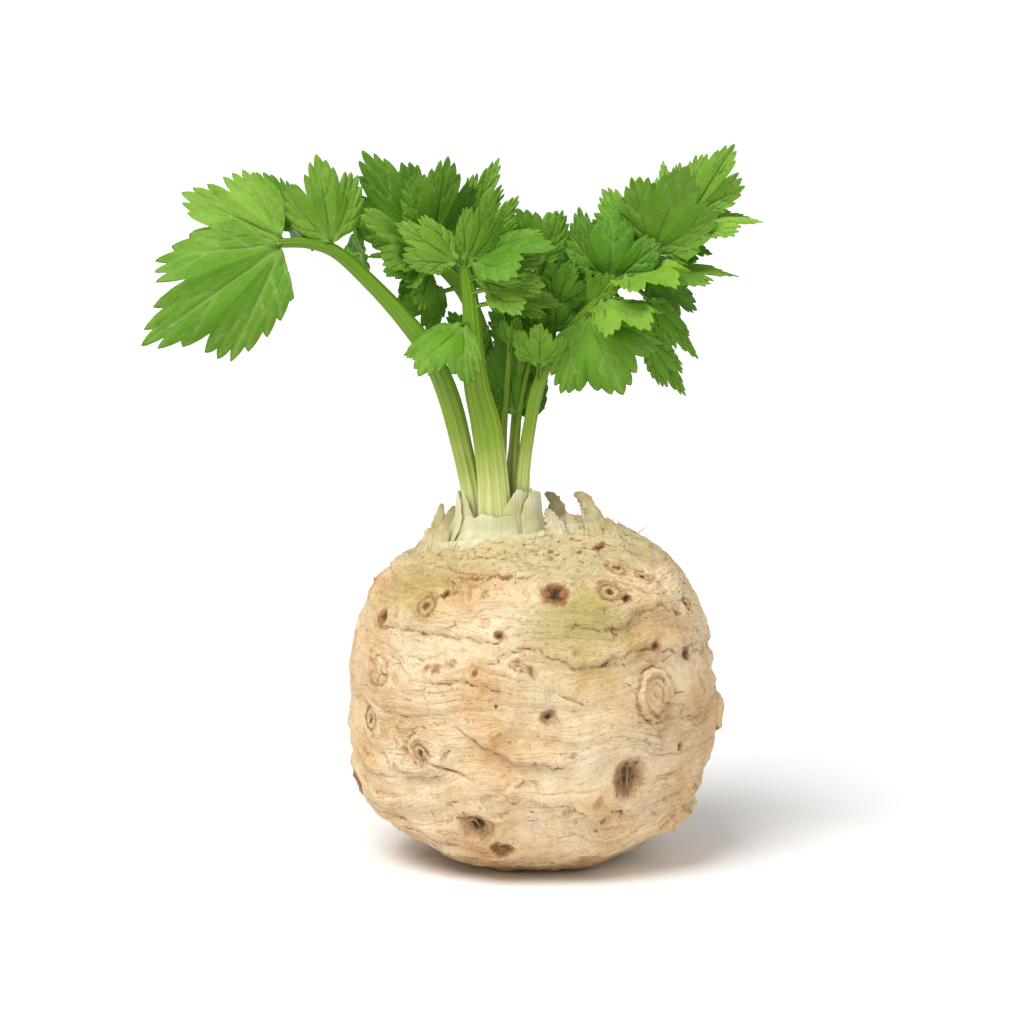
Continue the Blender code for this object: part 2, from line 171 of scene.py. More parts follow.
# Long creases, where one growth step laps over the next: azimuth and height along each.
CREASES = (
    ((-20, 72), (-4, 76), (5, 74), (12, 72), (22, 72), (32, 74), (49, 71), (75, 72)),
    ((-40, 95), (-20, 96), (-8, 96), (3, 94)),
    ((-38, 67), (-18, 66), (-7, 62)),
    ((-62, 46), (-50, 38), (-38, 36), (-28, 35)),
    ((-28, 53), (-18, 45), (-6, 39), (14, 36)),
    ((-66, 26), (-48, 18), (-28, 12)),
    ((-2, 24), (20, 22), (37, 24), (62, 29)),
    ((-70, 76), (-48, 80), (-28, 79), (-6, 82)),
    ((8, 84), (28, 82), (50, 86), (66, 84)),
    ((60, 50), (74, 56), (92, 52)),
    ((80, 76), (100, 70), (125, 66), (150, 72), (176, 69)),
    ((96, 34), (110, 36), (140, 44), (170, 38)),
    ((-176, 58), (-150, 62), (-120, 56), (-100, 60), (-80, 58)),
    ((-170, 34), (-140, 30), (-110, 36), (-84, 33)),
    ((-160, 84), (-130, 80), (-100, 84), (-78, 82)),
    ((100, 16), (130, 20), (160, 14)),
    ((-150, 12), (-120, 18), (-90, 14)),
)
SPECKS = 300  # small scars of fine roots, all round
LINE_STEP = 0.4  # how far up the slope of a line is measured
FLATTEST = 0.03  # the least slope that counts, so that nothing is divided by nought
NEAR = 0.86  # the cosine of the angle within which a scar shapes the skin


def radial(azimuth):
    """The level direction at this azimuth in degrees, counted from the front towards +X."""
    turned = math.radians(azimuth)
    return np.array((math.sin(turned), -math.cos(turned), 0))


def towards(azimuth, height):
    """The direction from the root's centre to the skin at an azimuth and height."""
    reach = ROOT_ABOVE if height > ROOT_CENTRE[2] else ROOT_BELOW
    share = min(1, abs(height - ROOT_CENTRE[2]) / reach)
    half = ROOT_HALF[0] * (1 - share**ROOT_SQUARENESS) ** (1 / ROOT_SQUARENESS)
    level = radial(azimuth) * half + np.array((0, 0, height - ROOT_CENTRE[2]))
    return unit(level)


def unit(vectors):
    """These vectors, one or many, at a length of one."""
    return vectors / np.linalg.norm(vectors, axis=-1, keepdims=True)


def bump(directions, centre, size, half_angle):
    """Smooth lumps of this size, centred on a direction."""
    angle = np.degrees(np.arccos(np.clip(directions @ centre, -1, 1)))
    return size * np.exp(-((angle / half_angle) ** 2))


def rough(points, pitch, octaves=2, stretch=(1, 1, 1)):
    """Fractal noise from about -1 to 1 at each point, with features about this far apart."""
    scaled = points / (pitch * np.array(stretch))
    return np.array([noise.fractal(Vector(p), 1.0, 2.0, octaves) for p in scaled])


def lines_of(points, stretch):
    """Stretched noise, and how far in mm each point is from the lines where it is nought."""
    here = rough(points, 1, 2, stretch)
    above = rough(points + np.array((0, 0, LINE_STEP)), 1, 2, stretch)
    slope = np.abs(above - here) / LINE_STEP
    return here, np.abs(here) / np.maximum(slope, FLATTEST)


def step(low, high, values):
    """A smooth rise from 0 at low to 1 at high."""
    share = np.clip((values - low) / (high - low), 0, 1)
    return share * share * (3 - 2 * share)


def root_skin(directions):
    """The plain lumpy skin, in millimetres, in unit directions from the root's centre."""
    reach = np.where(directions[:, 2] > 0, ROOT_ABOVE, ROOT_BELOW)
    level = np.hypot(directions[:, 0] / ROOT_HALF[0], directions[:, 1] / ROOT_HALF[1])
    upright = np.abs(directions[:, 2]) / reach
    radius = (level**ROOT_SQUARENESS + upright**ROOT_SQUARENESS) ** (-1 / ROOT_SQUARENESS)
    for normal, distance in TRIMS:
        facing = directions @ unit(np.array(normal))
        over = radius - distance / np.maximum(facing, 0.01)
        radius -= np.maximum(over, 0) * TRIM_SHARE
    radius += SWELL * rough(directions, 1 / SWELL_COUNT, 3)
    for azimuth, height, size, half_angle in LUMPS:
        radius += bump(directions, towards(azimuth, height), size, half_angle)
    for x, y, size, half_angle in CROWN_SWELLINGS:
        radius += bump(directions, unit(np.array((x, y, ROOT_ABOVE))), size, half_angle)
    return ROOT_CENTRE + directions * radius[:, None]


def scar_relief(kind, r, v, noisy):
    """How far a scar's skin rises in mm, and its brown, rust and dark, at r times its own size."""
    inside = 1 - step(0.75, 1.05, r)
    if kind == "stub":
        rings = np.cos(r * 2 * math.pi * 3.4 + 1.5 * noisy) * 0.22 * inside
        rise = 0.9 * np.exp(-(((r - 0.9) / 0.13) ** 2)) + 0.35 * inside + rings
        rise -= 0.9 * np.exp(-(((r - 1.14) / 0.08) ** 2))
        brown = 0.75 * np.exp(-(((r - 1.12) / 0.08) ** 2)) + 0.34 * inside
        brown += 0.5 * np.exp(-(((r - 0.86) / 0.1) ** 2)) * step(0.1, 0.7, -v)
        brown += 0.3 * step(0.04, 0.2, -rings)
        return rise, brown, 0.25 * inside * step(0, 0.8, -v), 0 * r
    if kind == "pit":
        hollow = 1 - step(0.15, 1.0, r)
        rise = -2.3 * hollow + 0.6 * np.exp(-(((r - 1.15) / 0.2) ** 2)) + 0.4 * noisy * hollow
        return rise, 0.8 * (1 - step(0.6, 1.5, r)), 0.3 * hollow, 0.9 * (1 - step(0.2, 0.75, r))
    if kind == "ring":
        rings = np.cos(r * 2 * math.pi * 2.2)
        rise = 0.28 * rings * inside + 0.4 * np.exp(-(((r - 1.05) / 0.14) ** 2)) - 0.35 * inside
        brown = (0.48 + 0.5 * step(0.1, 0.8, -rings)) * inside
        brown += 0.8 * np.exp(-(((r - 1.05) / 0.16) ** 2)) * step(-0.6, 0.4, noisy)
        return rise, brown, 0.25 * inside, 0.8 * (1 - step(0.1, 0.5, r))
    if kind == "rust":
        hollow = 1 - step(0.1, 1.0, r)
        rise = -1.1 * hollow + 0.9 * noisy * inside
        rise += 0.3 * np.exp(-(((r - 1.1) / 0.2) ** 2))
        dark = (1 - step(0.1, 1.0, r)) * step(-0.9, 0.2, noisy)
        return rise, 0.9 * inside, 0.8 * (1 - step(0.5, 1.3, r)), dark
    if kind == "bud":
        hollow = 1 - step(0.0, 0.9, r)
        rise = -0.7 * hollow + 0.3 * np.exp(-(((r - 1.1) / 0.25) ** 2))
        return rise, 0.6 * inside, 0.6 * hollow, 0.5 * (1 - step(0.0, 0.5, r))
    if kind == "crease":
        line = 1 - step(0.2, 1.0, r)
        return -0.9 * line, 0.7 * line, 0 * r, 0.55 * line
    soft = 1 - step(0.35, 1.25, r)
    return 0.9 * noisy * soft, 0.9 * soft * step(-0.4, 0.4, noisy), 0.45 * soft, 0 * r


def root_details(skin, directions):
    """Works out the relief and the colour masks of the whole skin: a dict of arrays."""
    noisy = rough(skin, 3.2, 3)
    gritty = rough(skin, 1.5, 2)
    flow = skin[:, 2] + 7.5 * rough(skin, 52, 2) + 2.2 * rough(skin, 15, 2)
    masks = {name: np.zeros(len(skin)) for name in ("brown", "rust", "dark")}
    relief = 1.0 * rough(skin, 16, 3) + 0.25 * rough(skin, 5, 2)
    picker = random.Random(11)
    specks = [
        (
            picker.choice(("bud", "bud", "patch", "rust")),
            picker.uniform(-180, 180),
            ROOT_CENTRE[2] + 50 * math.sin(picker.uniform(-1.2, 1.4)),
            0.5 + 2.6 * picker.random() ** 2.5,
            0.4 + 1.8 * picker.random() ** 2.5,
            picker.uniform(-40, 40),
        )
        for _ in range(SPECKS)
    ]
    for kind, azimuth, height, wide, tall, tilt in SCARS + tuple(specks):
        centre = towards(azimuth, height)
        near = np.nonzero(directions @ centre > NEAR)[0]
        place = root_skin(centre[None])[0]
        right = unit(np.cross((0, 0, 1), centre))
        up = np.cross(centre, right)
        offset = skin[near] - place
        turn = math.radians(tilt)
        u = offset @ (right * math.cos(turn) + up * math.sin(turn))
        v = offset @ (up * math.cos(turn) - right * math.sin(turn))
        ragged = min(1, 3 / min(wide, tall))
        r = np.hypot(u / wide, v / tall)
        r *= 1 + (0.24 * noisy[near] + 0.16 * gritty[near]) * ragged
        rise, brown, rust, dark = scar_relief(kind, r, v / tall, noisy[near])
        size = min(1, min(wide, tall) / 3) if kind != "crease" else 1
        relief[near] += rise * size
        masks["brown"][near] = np.maximum(masks["brown"][near], brown)
        masks["rust"][near] = np.maximum(masks["rust"][near], rust)
        masks["dark"][near] = np.maximum(masks["dark"][near], dark)
        if kind != "crease":
            bend = np.tanh(v / (0.6 * tall)) * tall * 0.75
            fade = np.exp(-((u / (1.8 * wide)) ** 2) - (v / (2.4 * tall)) ** 2)
            flow[near] -= bend * fade
    level = np.stack((skin[:, 0], skin[:, 1], flow), 1)
    fold, fold_gap = lines_of(level, (46, 46, 7.5))
    fine_gap = lines_of(level, (24, 24, 3.0))[1]
    azimuth_at = np.degrees(np.arctan2(skin[:, 0] - ROOT_CENTRE[0], -skin[:, 1]))
    lap = np.zeros(len(skin))
    for crease in CREASES:
        at, heights = zip(*crease)
        above = flow - 0.35 * (flow - skin[:, 2]) - np.interp(azimuth_at, at, heights)
        above -= 1.2 * noisy
        ends = step(at[0], at[0] + 6, azimuth_at) * (1 - step(at[-1] - 6, at[-1], azimuth_at))
        relief += 0.8 * np.tanh(above / 1.2) * np.exp(-((above / 5) ** 2)) * ends
        lap = np.maximum(lap, np.exp(-((above / 0.5) ** 2)) * ends)
    relief -= 0.8 * lap
    # The front is smooth half way up. The shoulder and the foot are the most fibrous.
    smooth_front = bump(directions, towards(12, 47), 1, 27)
    fibrous = 0.45 + 0.55 * step(72, 90, skin[:, 2]) + 0.35 * (1 - step(16, 36, skin[:, 2]))
    fibrous = np.clip(fibrous + 0.5 * rough(skin, 24, 2) - 0.75 * smooth_front, 0.05, 1)
    broken = step(-0.35, 0.45, rough(skin, 17, 2)) * (1 - 0.6 * smooth_front)
    crease = np.exp(-((fold_gap / 0.42) ** 2)) * (0.2 + 0.8 * broken)
    small = np.exp(-((fine_gap / 0.34) ** 2)) * fibrous
    relief += (0.7 - 0.3 * smooth_front) * np.tanh(fold * 2.4) - 0.8 * crease - 0.34 * small
    crown = step(90, 101, skin[:, 2] + 3 * noisy)
    relief += crown * 0.9 * rough(level, 1, 3, (7, 7, 1.5))
    across = (skin[:, 0] - SEAT_CENTRE[0]) / SEAT_HALF[0]
    deep = (skin[:, 1] - SEAT_CENTRE[1]) / SEAT_HALF[1]
    ring = np.hypot(across, deep) + 0.24 * noisy
    collar = (1 - step(0.95, 2.0, ring)) * (skin[:, 2] > 80)
    # Three places on the shoulder that daylight turned green.
    lit = bump(directions, towards(18, 84), 1, 17)
    lit += 0.7 * bump(directions, towards(-52, 92), 1, 14)
    lit += 0.6 * bump(directions, towards(140, 88), 1, 20)
    masks["green"] = np.clip(lit * (1 + 0.5 * rough(skin, 12, 2)), 0, 1)
    masks["crease"] = np.clip(np.maximum(0.6 * crease, 0.9 * lap) + 0.5 * small, 0, 1)
    masks["fibrous"] = fibrous
    underneath = (1 - step(2, 24, skin[:, 2])) * step(-0.8, 0.4, rough(skin, 9, 2))
    masks["brown"] = np.maximum(masks["brown"], 0.68 * underneath)
    flecks = step(0.22, 0.5, rough(skin, 1.8, 2)) * crown
    masks["brown"] = np.maximum(masks["brown"], 0.9 * flecks)
    masks["dark"] = np.maximum(masks["dark"], 0.55 * step(0.45, 0.7, rough(skin, 2.4, 2)) * crown)
    masks["crown"] = crown
    masks["collar"] = collar
    masks["flow"] = flow * MM
    return relief, masks


def seat_limit(points):
    """How high the root may reach above each point, so that it closes round the leaf bases."""
    across = (points[:, 0] - SEAT_CENTRE[0]) / SEAT_HALF[0]
    deep = (points[:, 1] - SEAT_CENTRE[1]) / SEAT_HALF[1]
    outside = np.maximum(0, np.hypot(across, deep) - 1) * SEAT_HALF[0]
    return SEAT_HEIGHT + SEAT_SLOPE * outside


def put(name, bm, points=None, smooth=True):
    """Makes the bmesh an object, with its vertices at these points in millimetres."""
    mesh = bpy.data.meshes.new(name)
    bm.to_mesh(mesh)
    bm.free()
    if points is not None:
        mesh.vertices.foreach_set("co", (points * MM).astype(np.float32).ravel())
    mesh.update()
    if smooth:
        mesh.shade_smooth()
    made = bpy.data.objects.new(name, mesh)
    bpy.context.scene.collection.objects.link(made)
    return made


def mark(piece, **values):
    """Gives a piece a number at each vertex, under each name."""
    for name, numbers in values.items():
        layer = piece.data.attributes.new(name, "FLOAT", "POINT")
        layer.data.foreach_set("value", np.asarray(numbers, np.float32))


def coordinates(bm):
    """The bmesh's vertex places as an array."""
    return np.array([vert.co[:] for vert in bm.verts])


def linear(colour):
    """An sRGB hex colour as linear red, green, blue and alpha."""
    parts = [int(colour[i : i + 2], 16) / 255 for i in (1, 3, 5)]
    return (*(p / 12.92 if p <= 0.04045 else ((p + 0.055) / 1.055) ** 2.4 for p in parts), 1)


def new_material(name):
    """A material of this name, and its shader."""
    made = bpy.data.materials.new(name)
    made.use_nodes = True
    return made, made.node_tree.nodes["Principled BSDF"]


def node(material, kind, inputs=(), stops=(), out=0, **settings):
    """Adds a shader node, and gives its output of this name or number.

    inputs gives its sockets a value, a hex colour or another node's output.
    """
    made = material.node_tree.nodes.new("ShaderNode" + kind)
    for name, value in settings.items():
        setattr(made, name, value)
    for i, (place, shade) in enumerate(stops):
        elements = made.color_ramp.elements
        stop = elements[i] if i < 2 else elements.new(place)
        stop.position = place
        stop.color = linear(shade)
    for name, value in dict(inputs).items():
        if isinstance(value, bpy.types.NodeSocket):
            material.node_tree.links.new(value, made.inputs[name])
        else:
            made.inputs[name].default_value = linear(value) if isinstance(value, str) else value
    return made.outputs[out]


def celeriac_skin():
    """Corky celeriac skin: matt cream, with tan growth lines, rusty root scars and dark pits."""
    skin, shader = new_material("celeriac skin")
    place = node(skin, "TexCoord", out="Object")
    mask = {
        name: node(skin, "Attribute", out="Fac", attribute_name=name)
        for name in ("brown", "rust", "dark", "green", "crease", "crown", "collar", "flow", "fibrous")
    }
    split = node(skin, "SeparateXYZ", {0: place}).node
    # Growth lines: noise stretched level, 25 mm long and 2.5 mm apart, which follows the flow.
    lines_at = node(skin, "CombineXYZ", {
        0: node(skin, "Math", {0: split.outputs[0], 1: 40.0}, operation="MULTIPLY"),
        1: node(skin, "Math", {0: split.outputs[1], 1: 40.0}, operation="MULTIPLY"),
        2: node(skin, "Math", {0: mask["flow"], 1: 400.0}, operation="MULTIPLY"),
    })
    lines = node(skin, "TexNoise", {"Vector": lines_at, "Scale": 1.0, "Detail": 5.0, "Roughness": 0.62})
    # Patches of cream and tan, 20 mm across, and a mottle of 3 mm.
    patches = node(skin, "TexNoise", {"Vector": place, "Scale": 48.0, "Detail": 3.0})
    mottle = node(skin, "TexNoise", {"Vector": place, "Scale": 330.0, "Detail": 5.0, "Roughness": 0.7})
    # Corky dots, 0.9 mm across.
    dots = node(skin, "TexNoise", {"Vector": place, "Scale": 1150.0, "Detail": 2.0})

    base = node(
        skin,
        "ValToRGB",
        {0: patches},
        stops=((0.30, "#cb9355"), (0.41, "#deb780"), (0.53, "#ead0a4"), (0.72, "#efdebd")),
    )
    mottled = node(
        skin,
        "ValToRGB",
        {0: mottle},
        stops=((0.30, "#a8733c"), (0.43, "#e0c08e"), (0.66, "#f3e3c4")),
    )
    colour = node(skin, "Mix", {0: 0.38, 6: base, 7: mottled}, data_type="RGBA", out=2)

    def broken(amount, low, high):
        """A mask with its edge broken up by the mottle of the skin."""
        grain = node(skin, "Math", {0: mottle, 1: -0.5}, operation="ADD")
        summed = node(skin, "Math", {0: grain, 1: 1.5, 2: amount}, operation="MULTIPLY_ADD")
        span = {0: summed, 1: low, 2: high}
        return node(skin, "MapRange", span, interpolation_type="SMOOTHSTEP")

    thin = node(
        skin,
        "ValToRGB",
        {0: lines},
        stops=((0.455, "#000000"), (0.485, "#ffffff"), (0.505, "#000000")),
    )
    streaks = node(skin, "MapRange", {0: lines, 1: 0.50, 2: 0.72, 4: 0.55}, clamp=True)
    streak_share = node(skin, "Math", {0: streaks, 1: mask["fibrous"]}, operation="MULTIPLY")
    fibre = node(skin, "Math", {0: mask["fibrous"], 1: 0.75}, operation="MULTIPLY")
    line_share = node(skin, "Math", {0: thin, 1: fibre}, operation="MULTIPLY")
    green_share = node(skin, "Math", {0: mask["green"], 1: 0.72}, operation="MULTIPLY")
    crown = broken(mask["crown"], 0.25, 1.1)
    crown_share = node(skin, "Math", {0: crown, 1: 0.75}, operation="MULTIPLY")
    dot_share = node(skin, "MapRange", {0: dots, 1: 0.655, 2: 0.70, 4: 0.6}, clamp=True)
    # The tints that lie over the cork, from the lowest to the topmost.
    for tint, share in (
        ("#c8935c", streak_share),
        ("#97693a", line_share),
        ("#a2983f", green_share),
        ("#cdc08c", crown_share),
        ("#8d6034", broken(mask["crease"], 0.30, 1.15)),
        ("#946431", broken(mask["brown"], 0.20, 1.20)),
        ("#96571f", broken(mask["rust"], 0.30, 1.35)),
        ("#7d5227", dot_share),
        ("#2f1a0c", broken(mask["dark"], 0.22, 1.05)),
        ("#ded9b9", broken(mask["collar"], 0.35, 1.25)),
    ):
        colour = node(skin, "Mix", {0: share, 6: colour, 7: tint}, data_type="RGBA", out=2)

    skin.node_tree.links.new(colour, shader.inputs["Base Color"])
    rough_share = node(skin, "MapRange", {0: mottle, 1: 0.3, 2: 0.7, 3: 0.48, 4: 0.72})
    skin.node_tree.links.new(rough_share, shader.inputs["Roughness"])
    # Bump in metres: the wrinkles of the growth lines, and over them the finer grain of the cork.
    wrinkles = node(skin, "Bump", {"Height": lines, "Distance": 0.0020, "Strength": 1.0})
    grain = node(
        skin,
        "Bump",
        {"Height": mottle, "Distance": 0.0010, "Strength": 0.9, "Normal": wrinkles},
    )
    skin.node_tree.links.new(grain, shader.inputs["Normal"])
    return skin


ball = bmesh.new()
bmesh.ops.create_cube(ball, size=2)
bmesh.ops.subdivide_edges(ball, edges=ball.edges[:], cuts=ROOT_CUTS, use_grid_fill=True)
root_directions = unit(np.tan(coordinates(ball) * math.pi / 4))
plain_skin = root_skin(root_directions)
plain_skin[:, 2] = np.minimum(plain_skin[:, 2], seat_limit(plain_skin))
root_relief, root_masks = root_details(plain_skin, root_directions)
root_points = plain_skin + root_directions * root_relief[:, None]
root_points[:, 2] = np.maximum(root_points[:, 2], 0)
root = put("root_with_scars", ball, root_points)
mark(root, **root_masks)
root.data.materials.append(celeriac_skin())
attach(root, "root")
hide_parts("root")

# ---------------------------------------------------------------------------------------------
# The leaf stalks. Each is a crisp, juicy rod with a channel along the side that faces the middle
# of the plant and strong ribs round its back. It is nearly white in the crown, turns yellowish
# and then green on its way up, and grows thinner towards its leaflets.

STALK_SIDES = 96
STALK_RINGS = 150
STALK_FOOT = 3.5  # how deep a stalk is rooted in the crown
SHORT_WAY = 0.01  # the share of a line that is taken as straight, to find where it heads
# Each stalk: its route, its half width and half thickness at the foot, at a third of the way and
# at the end, and the way that its channel faces, in degrees from its width's direction.
STALKS = {
    "stalk_left": (
        ((-16, 0, 104), (-17, -1, 116), (-20, -3, 131), (-24, -5, 147), (-30, -6, 161),
         (-38, -7, 172), (-48, -8, 183), (-59, -9, 193), (-68, -10, 196), (-77, -11, 196)),
        ((3.7, 3.3), (4.0, 2.9), (1.6, 1.4)),
        0,
    ),
    "stalk_middle": (
        ((-10, -7, 104), (-11, -7, 122), (-13, -8, 138), (-16, -8, 151), (-17, -8, 163),
         (-18, -7, 178), (-20, -6, 190)),
        ((4.8, 2.7), (4.5, 2.5), (1.8, 1.5)),
        90,
    ),
    "stalk_back": (
        ((-12, 6, 104), (-10, 8, 125), (-10, 12, 144), (-13, 14, 159), (-18, 13, 174),
         (-25, 11, 184), (-33, 9, 190)),
        ((3.3, 2.7), (2.9, 2.3), (1.7, 1.4)),
        270,
    ),
    "stalk_right_inner": (
        ((-5, 4, 104), (-5, 4, 123), (-4, 3, 139), (-3, 3, 152), (-1, 2, 165), (1, 2, 177),
         (5, 2, 189)),
        ((2.3, 2.1), (1.9, 1.7), (1.3, 1.2)),
        180,
    ),
    "stalk_right_outer": (
        ((-2, -2, 104), (-2, -2, 121), (0, -3, 137), (3, -4, 151), (8, -5, 162), (15, -6, 171),
         (23, -6, 179), (32, -5, 186), (41, -3, 193), (50, 0, 201)),
        ((2.6, 2.4), (2.3, 2.1), (1.3, 1.2)),
        180,
    ),
}


def along(points, share):
    """The points at shares of the way along a smooth line through these points."""
    route = np.array(points, float)
    last = len(route) - 1
    place = np.clip(np.atleast_1d(share), 0, 1) * last
    i = np.minimum(place.astype(int), last - 1)
    t = (place - i)[:, None]
    a, b = route[np.maximum(i - 1, 0)], route[i]
    c, d = route[i + 1], route[np.minimum(i + 2, last)]
    slope, curve, twist = c - a, 2 * a - 5 * b + 4 * c - d, 3 * b - a - 3 * c + d
    return 0.5 * (2 * b + slope * t + curve * t**2 + twist * t**3)


def heading(points, share):
    """The directions of a smooth line at shares of the way along it."""
    near, far = np.maximum(share - SHORT_WAY, 0), np.minimum(share + SHORT_WAY, 1)
    return unit(along(points, far) - along(points, near))


def halves_at(halves, share):
    """Half width and half thickness at shares of the way, from their foot, third and end."""
    foot, third, end = (np.array(pair) for pair in halves)
    share = np.atleast_1d(share)[:, None]
    low = foot + (third - foot) * np.clip(share * 3, 0, 1)
    return low + (end - third) * np.clip((share - 1 / 3) * 1.5, 0, 1)


def rod(sides, rings):
    """A closed upright rod: its bmesh, and its vertices' angle and share of its height."""
    bm = bmesh.new()
    bmesh.ops.create_cone(bm, cap_ends=True, segments=sides, radius1=1, radius2=1, depth=1)
    upright = [edge for edge in bm.edges if abs(edge.verts[0].co.z - edge.verts[1].co.z) > 0.5]
    bmesh.ops.subdivide_edges(bm, edges=upright, cuts=rings - 1, use_grid_fill=True)
    co = coordinates(bm)
    return bm, np.arctan2(co[:, 1], co[:, 0]), co[:, 2] + 0.5


def sweep(route, halves, angle, share, scale):
    """Places a rod's vertices round a smooth line; scale shapes its section."""
    forward = heading(route, share)
    level = step(0, 0.06, share)[:, None]
    forward = unit(forward * level + np.array((0, 0, 1)) * (1 - level))
    wide = unit(np.cross((0, 1, 0), forward))
    deep = np.cross(forward, wide)
    half = halves_at(halves, share)
    x = (np.cos(angle) * half[:, 0] * scale)[:, None]
    y = (np.sin(angle) * half[:, 1] * scale)[:, None]
    return along(route, share) + wide * x + deep * y


def stalk_flesh():
    """Fresh leaf stalk: a smooth, slightly waxy green, streaked along its ribs, white at its foot."""
    flesh, shader = new_material("fresh leaf stalk")
    place = node(flesh, "TexCoord", out="Object")
    rise = node(flesh, "Attribute", out="Fac", attribute_name="rise")
    turn = node(flesh, "Attribute", out="Fac", attribute_name="turn")
    groove = node(flesh, "Attribute", out="Fac", attribute_name="groove")
    # Streaks along the stalk: 24 from its channel to its back, each 30 mm long.
    streak_at = node(flesh, "CombineXYZ", {
        0: node(flesh, "Math", {0: turn, 1: 24.0}, operation="MULTIPLY"),
        1: node(flesh, "Math", {0: rise, 1: 33.0}, operation="MULTIPLY"),
    })
    streaks = node(flesh, "TexNoise", {"Vector": streak_at, "Scale": 1.0, "Detail": 3.0})
    wander = node(flesh, "TexNoise", {"Vector": place, "Scale": 60.0, "Detail": 2.0})
    height = node(flesh, "Math", {
        0: node(flesh, "Math", {0: wander, 1: 0.024}, operation="MULTIPLY"),
        1: rise,
    }, operation="ADD")
    # From the crown up: white, pale yellowish green, then green, over 110 mm.
    grown = node(flesh, "MapRange", {0: height, 1: 0.012, 2: 0.122}, clamp=True)
    base = node(
        flesh,
        "ValToRGB",
        {0: grown},
        stops=(
            (0.0, "#e6e4bc"), (0.14, "#cdd27c"), (0.32, "#8dab26"), (0.62, "#6f9a10"), (1.0, "#639008"),
        ),
    )
    darker = node(
        flesh,
        "ValToRGB",
        {0: grown},
        stops=((0.0, "#cccb84"), (0.3, "#71901c"), (1.0, "#437206")),
    )
    share = node(flesh, "MapRange", {0: streaks, 1: 0.42, 2: 0.68}, clamp=True)
    colour = node(flesh, "Mix", {0: share, 6: base, 7: darker}, data_type="RGBA", out=2)
    # Painted shade: the channel and the hollows between the ribs are mixed towards the darker green.
    in_groove = node(flesh, "Math", {0: groove, 1: 0.55}, operation="MULTIPLY")
    colour = node(flesh, "Mix", {0: in_groove, 6: colour, 7: darker}, data_type="RGBA", out=2)
    flesh.node_tree.links.new(colour, shader.inputs["Base Color"])
    shader.inputs["Roughness"].default_value = 0.36
    shader.inputs["IOR"].default_value = 1.42
    fibre = node(flesh, "Bump", {"Height": streaks, "Distance": 0.0005, "Strength": 0.6})
    flesh.node_tree.links.new(fibre, shader.inputs["Normal"])
    return flesh


# Thin young leaf stalks that stand between the big ones: route, and half width at the foot.
YOUNG_STALKS = {
    "young_stalk_left": (
        ((-8, 1, 106), (-8, 1, 126), (-7, 0, 146), (-6, -2, 162), (-7, -4, 174)), 1.3,
    ),
    "young_stalk_middle": (((-4, 0, 106), (-4, 0, 128), (-2, 0, 146), (2, 0, 162), (9, 0, 176)), 1.2),
    "young_stalk_right": (((-1, 2, 106), (0, 2, 130), (3, 1, 148), (9, 0, 163), (18, -1, 173)), 1.3),
    "young_stalk_back": (
        ((-8, 10, 106), (-5, 12, 130), (-1, 14, 150), (6, 15, 168), (16, 14, 182)), 1.4,
    ),
}
for name, (route, half) in YOUNG_STALKS.items():
    STALKS[name] = (route, ((half, half), (half * 0.85, half * 0.8), (half * 0.45, half * 0.45)), 180)

stalk_material = stalk_flesh()
for name, (route, halves, channel) in STALKS.items():
    bm, angle, share = rod(STALK_SIDES, STALK_RINGS)
    from_channel = np.abs((np.degrees(angle) - channel + 180) % 360 - 180)
    dent = np.exp(-((from_channel / 42) ** 2))
    ribs = np.cos(np.radians(from_channel) * 11) * step(50, 80, from_channel)
    slow = rough(np.stack((share * 7, 0 * share, 0 * share + channel), 1), 1, 2)
    scale = 1 - 0.34 * dent + 0.055 * ribs + 0.035 * slow
    # The stalk widens into a clasping base where it leaves the crown.
    scale += 0.10 * (1 - step(0, 0.16, share))
    points = sweep(route, halves, angle, share, scale)
    foot = 1 - step(0, 0.05, share)
    points[:, 2] -= STALK_FOOT * foot
    stalk = put(name + "_ribbed", bm, points)
    # The channel and the hollows between the ribs are marked for painted shade.
    mark(
        stalk,
        rise=(points[:, 2] - SEAT_HEIGHT) * MM,
        turn=from_channel / 180,
        groove=np.clip(dent + 0.6 * step(0.1, 0.9, -ribs), 0, 1),
    )
    stalk.data.materials.append(stalk_material)
    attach(stalk, "root")
    if name not in YOUNG_STALKS:
        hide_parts(name)

# ---------------------------------------------------------------------------------------------
# The leaflets. Each is a soft green blade about a third of a millimetre thick, on a short
# channelled stem of its own. It has three lobes and coarse teeth, and a vein runs out to every
# tooth. The upper face is glossier and darker than the underside, where the veins stand out.

BLADE_THICKNESS = 0.34
STEM_HALF_WIDTH = 1.5  # round the little stem, which is rolled to a channel
STEM_ROLL = 2.5  # radians that half of the stem is rolled through
STEM_ROWS = 8
BLADE_ROWS = 26
BLADE_ARCH = 0.5  # how strongly a blade's sides fall away from its midline
BLADE_WIDEST = 0.58  # what counts as the outline's half width, past which only some teeth reach
TOOTH_COLUMNS = 6
TOOTH_JITTER = 0.9  # how far, in degrees, the tip of a tooth may stand from its place
USUAL_WIDTH = 24  # of a leaflet whose waves are as deep as the next sizes say
WAVE, RUFFLE, LOBE_LIFT = 1.9, 0.8, 1.9
VEIN_DEPTH, PUCKER = 0.75, 0.13
# The tips of the teeth of half a blade, in degrees from its midline.
TEETH = (0, 7.5, 15.5, 29, 36.5, 44, 51.5, 59.5, 68, 77)
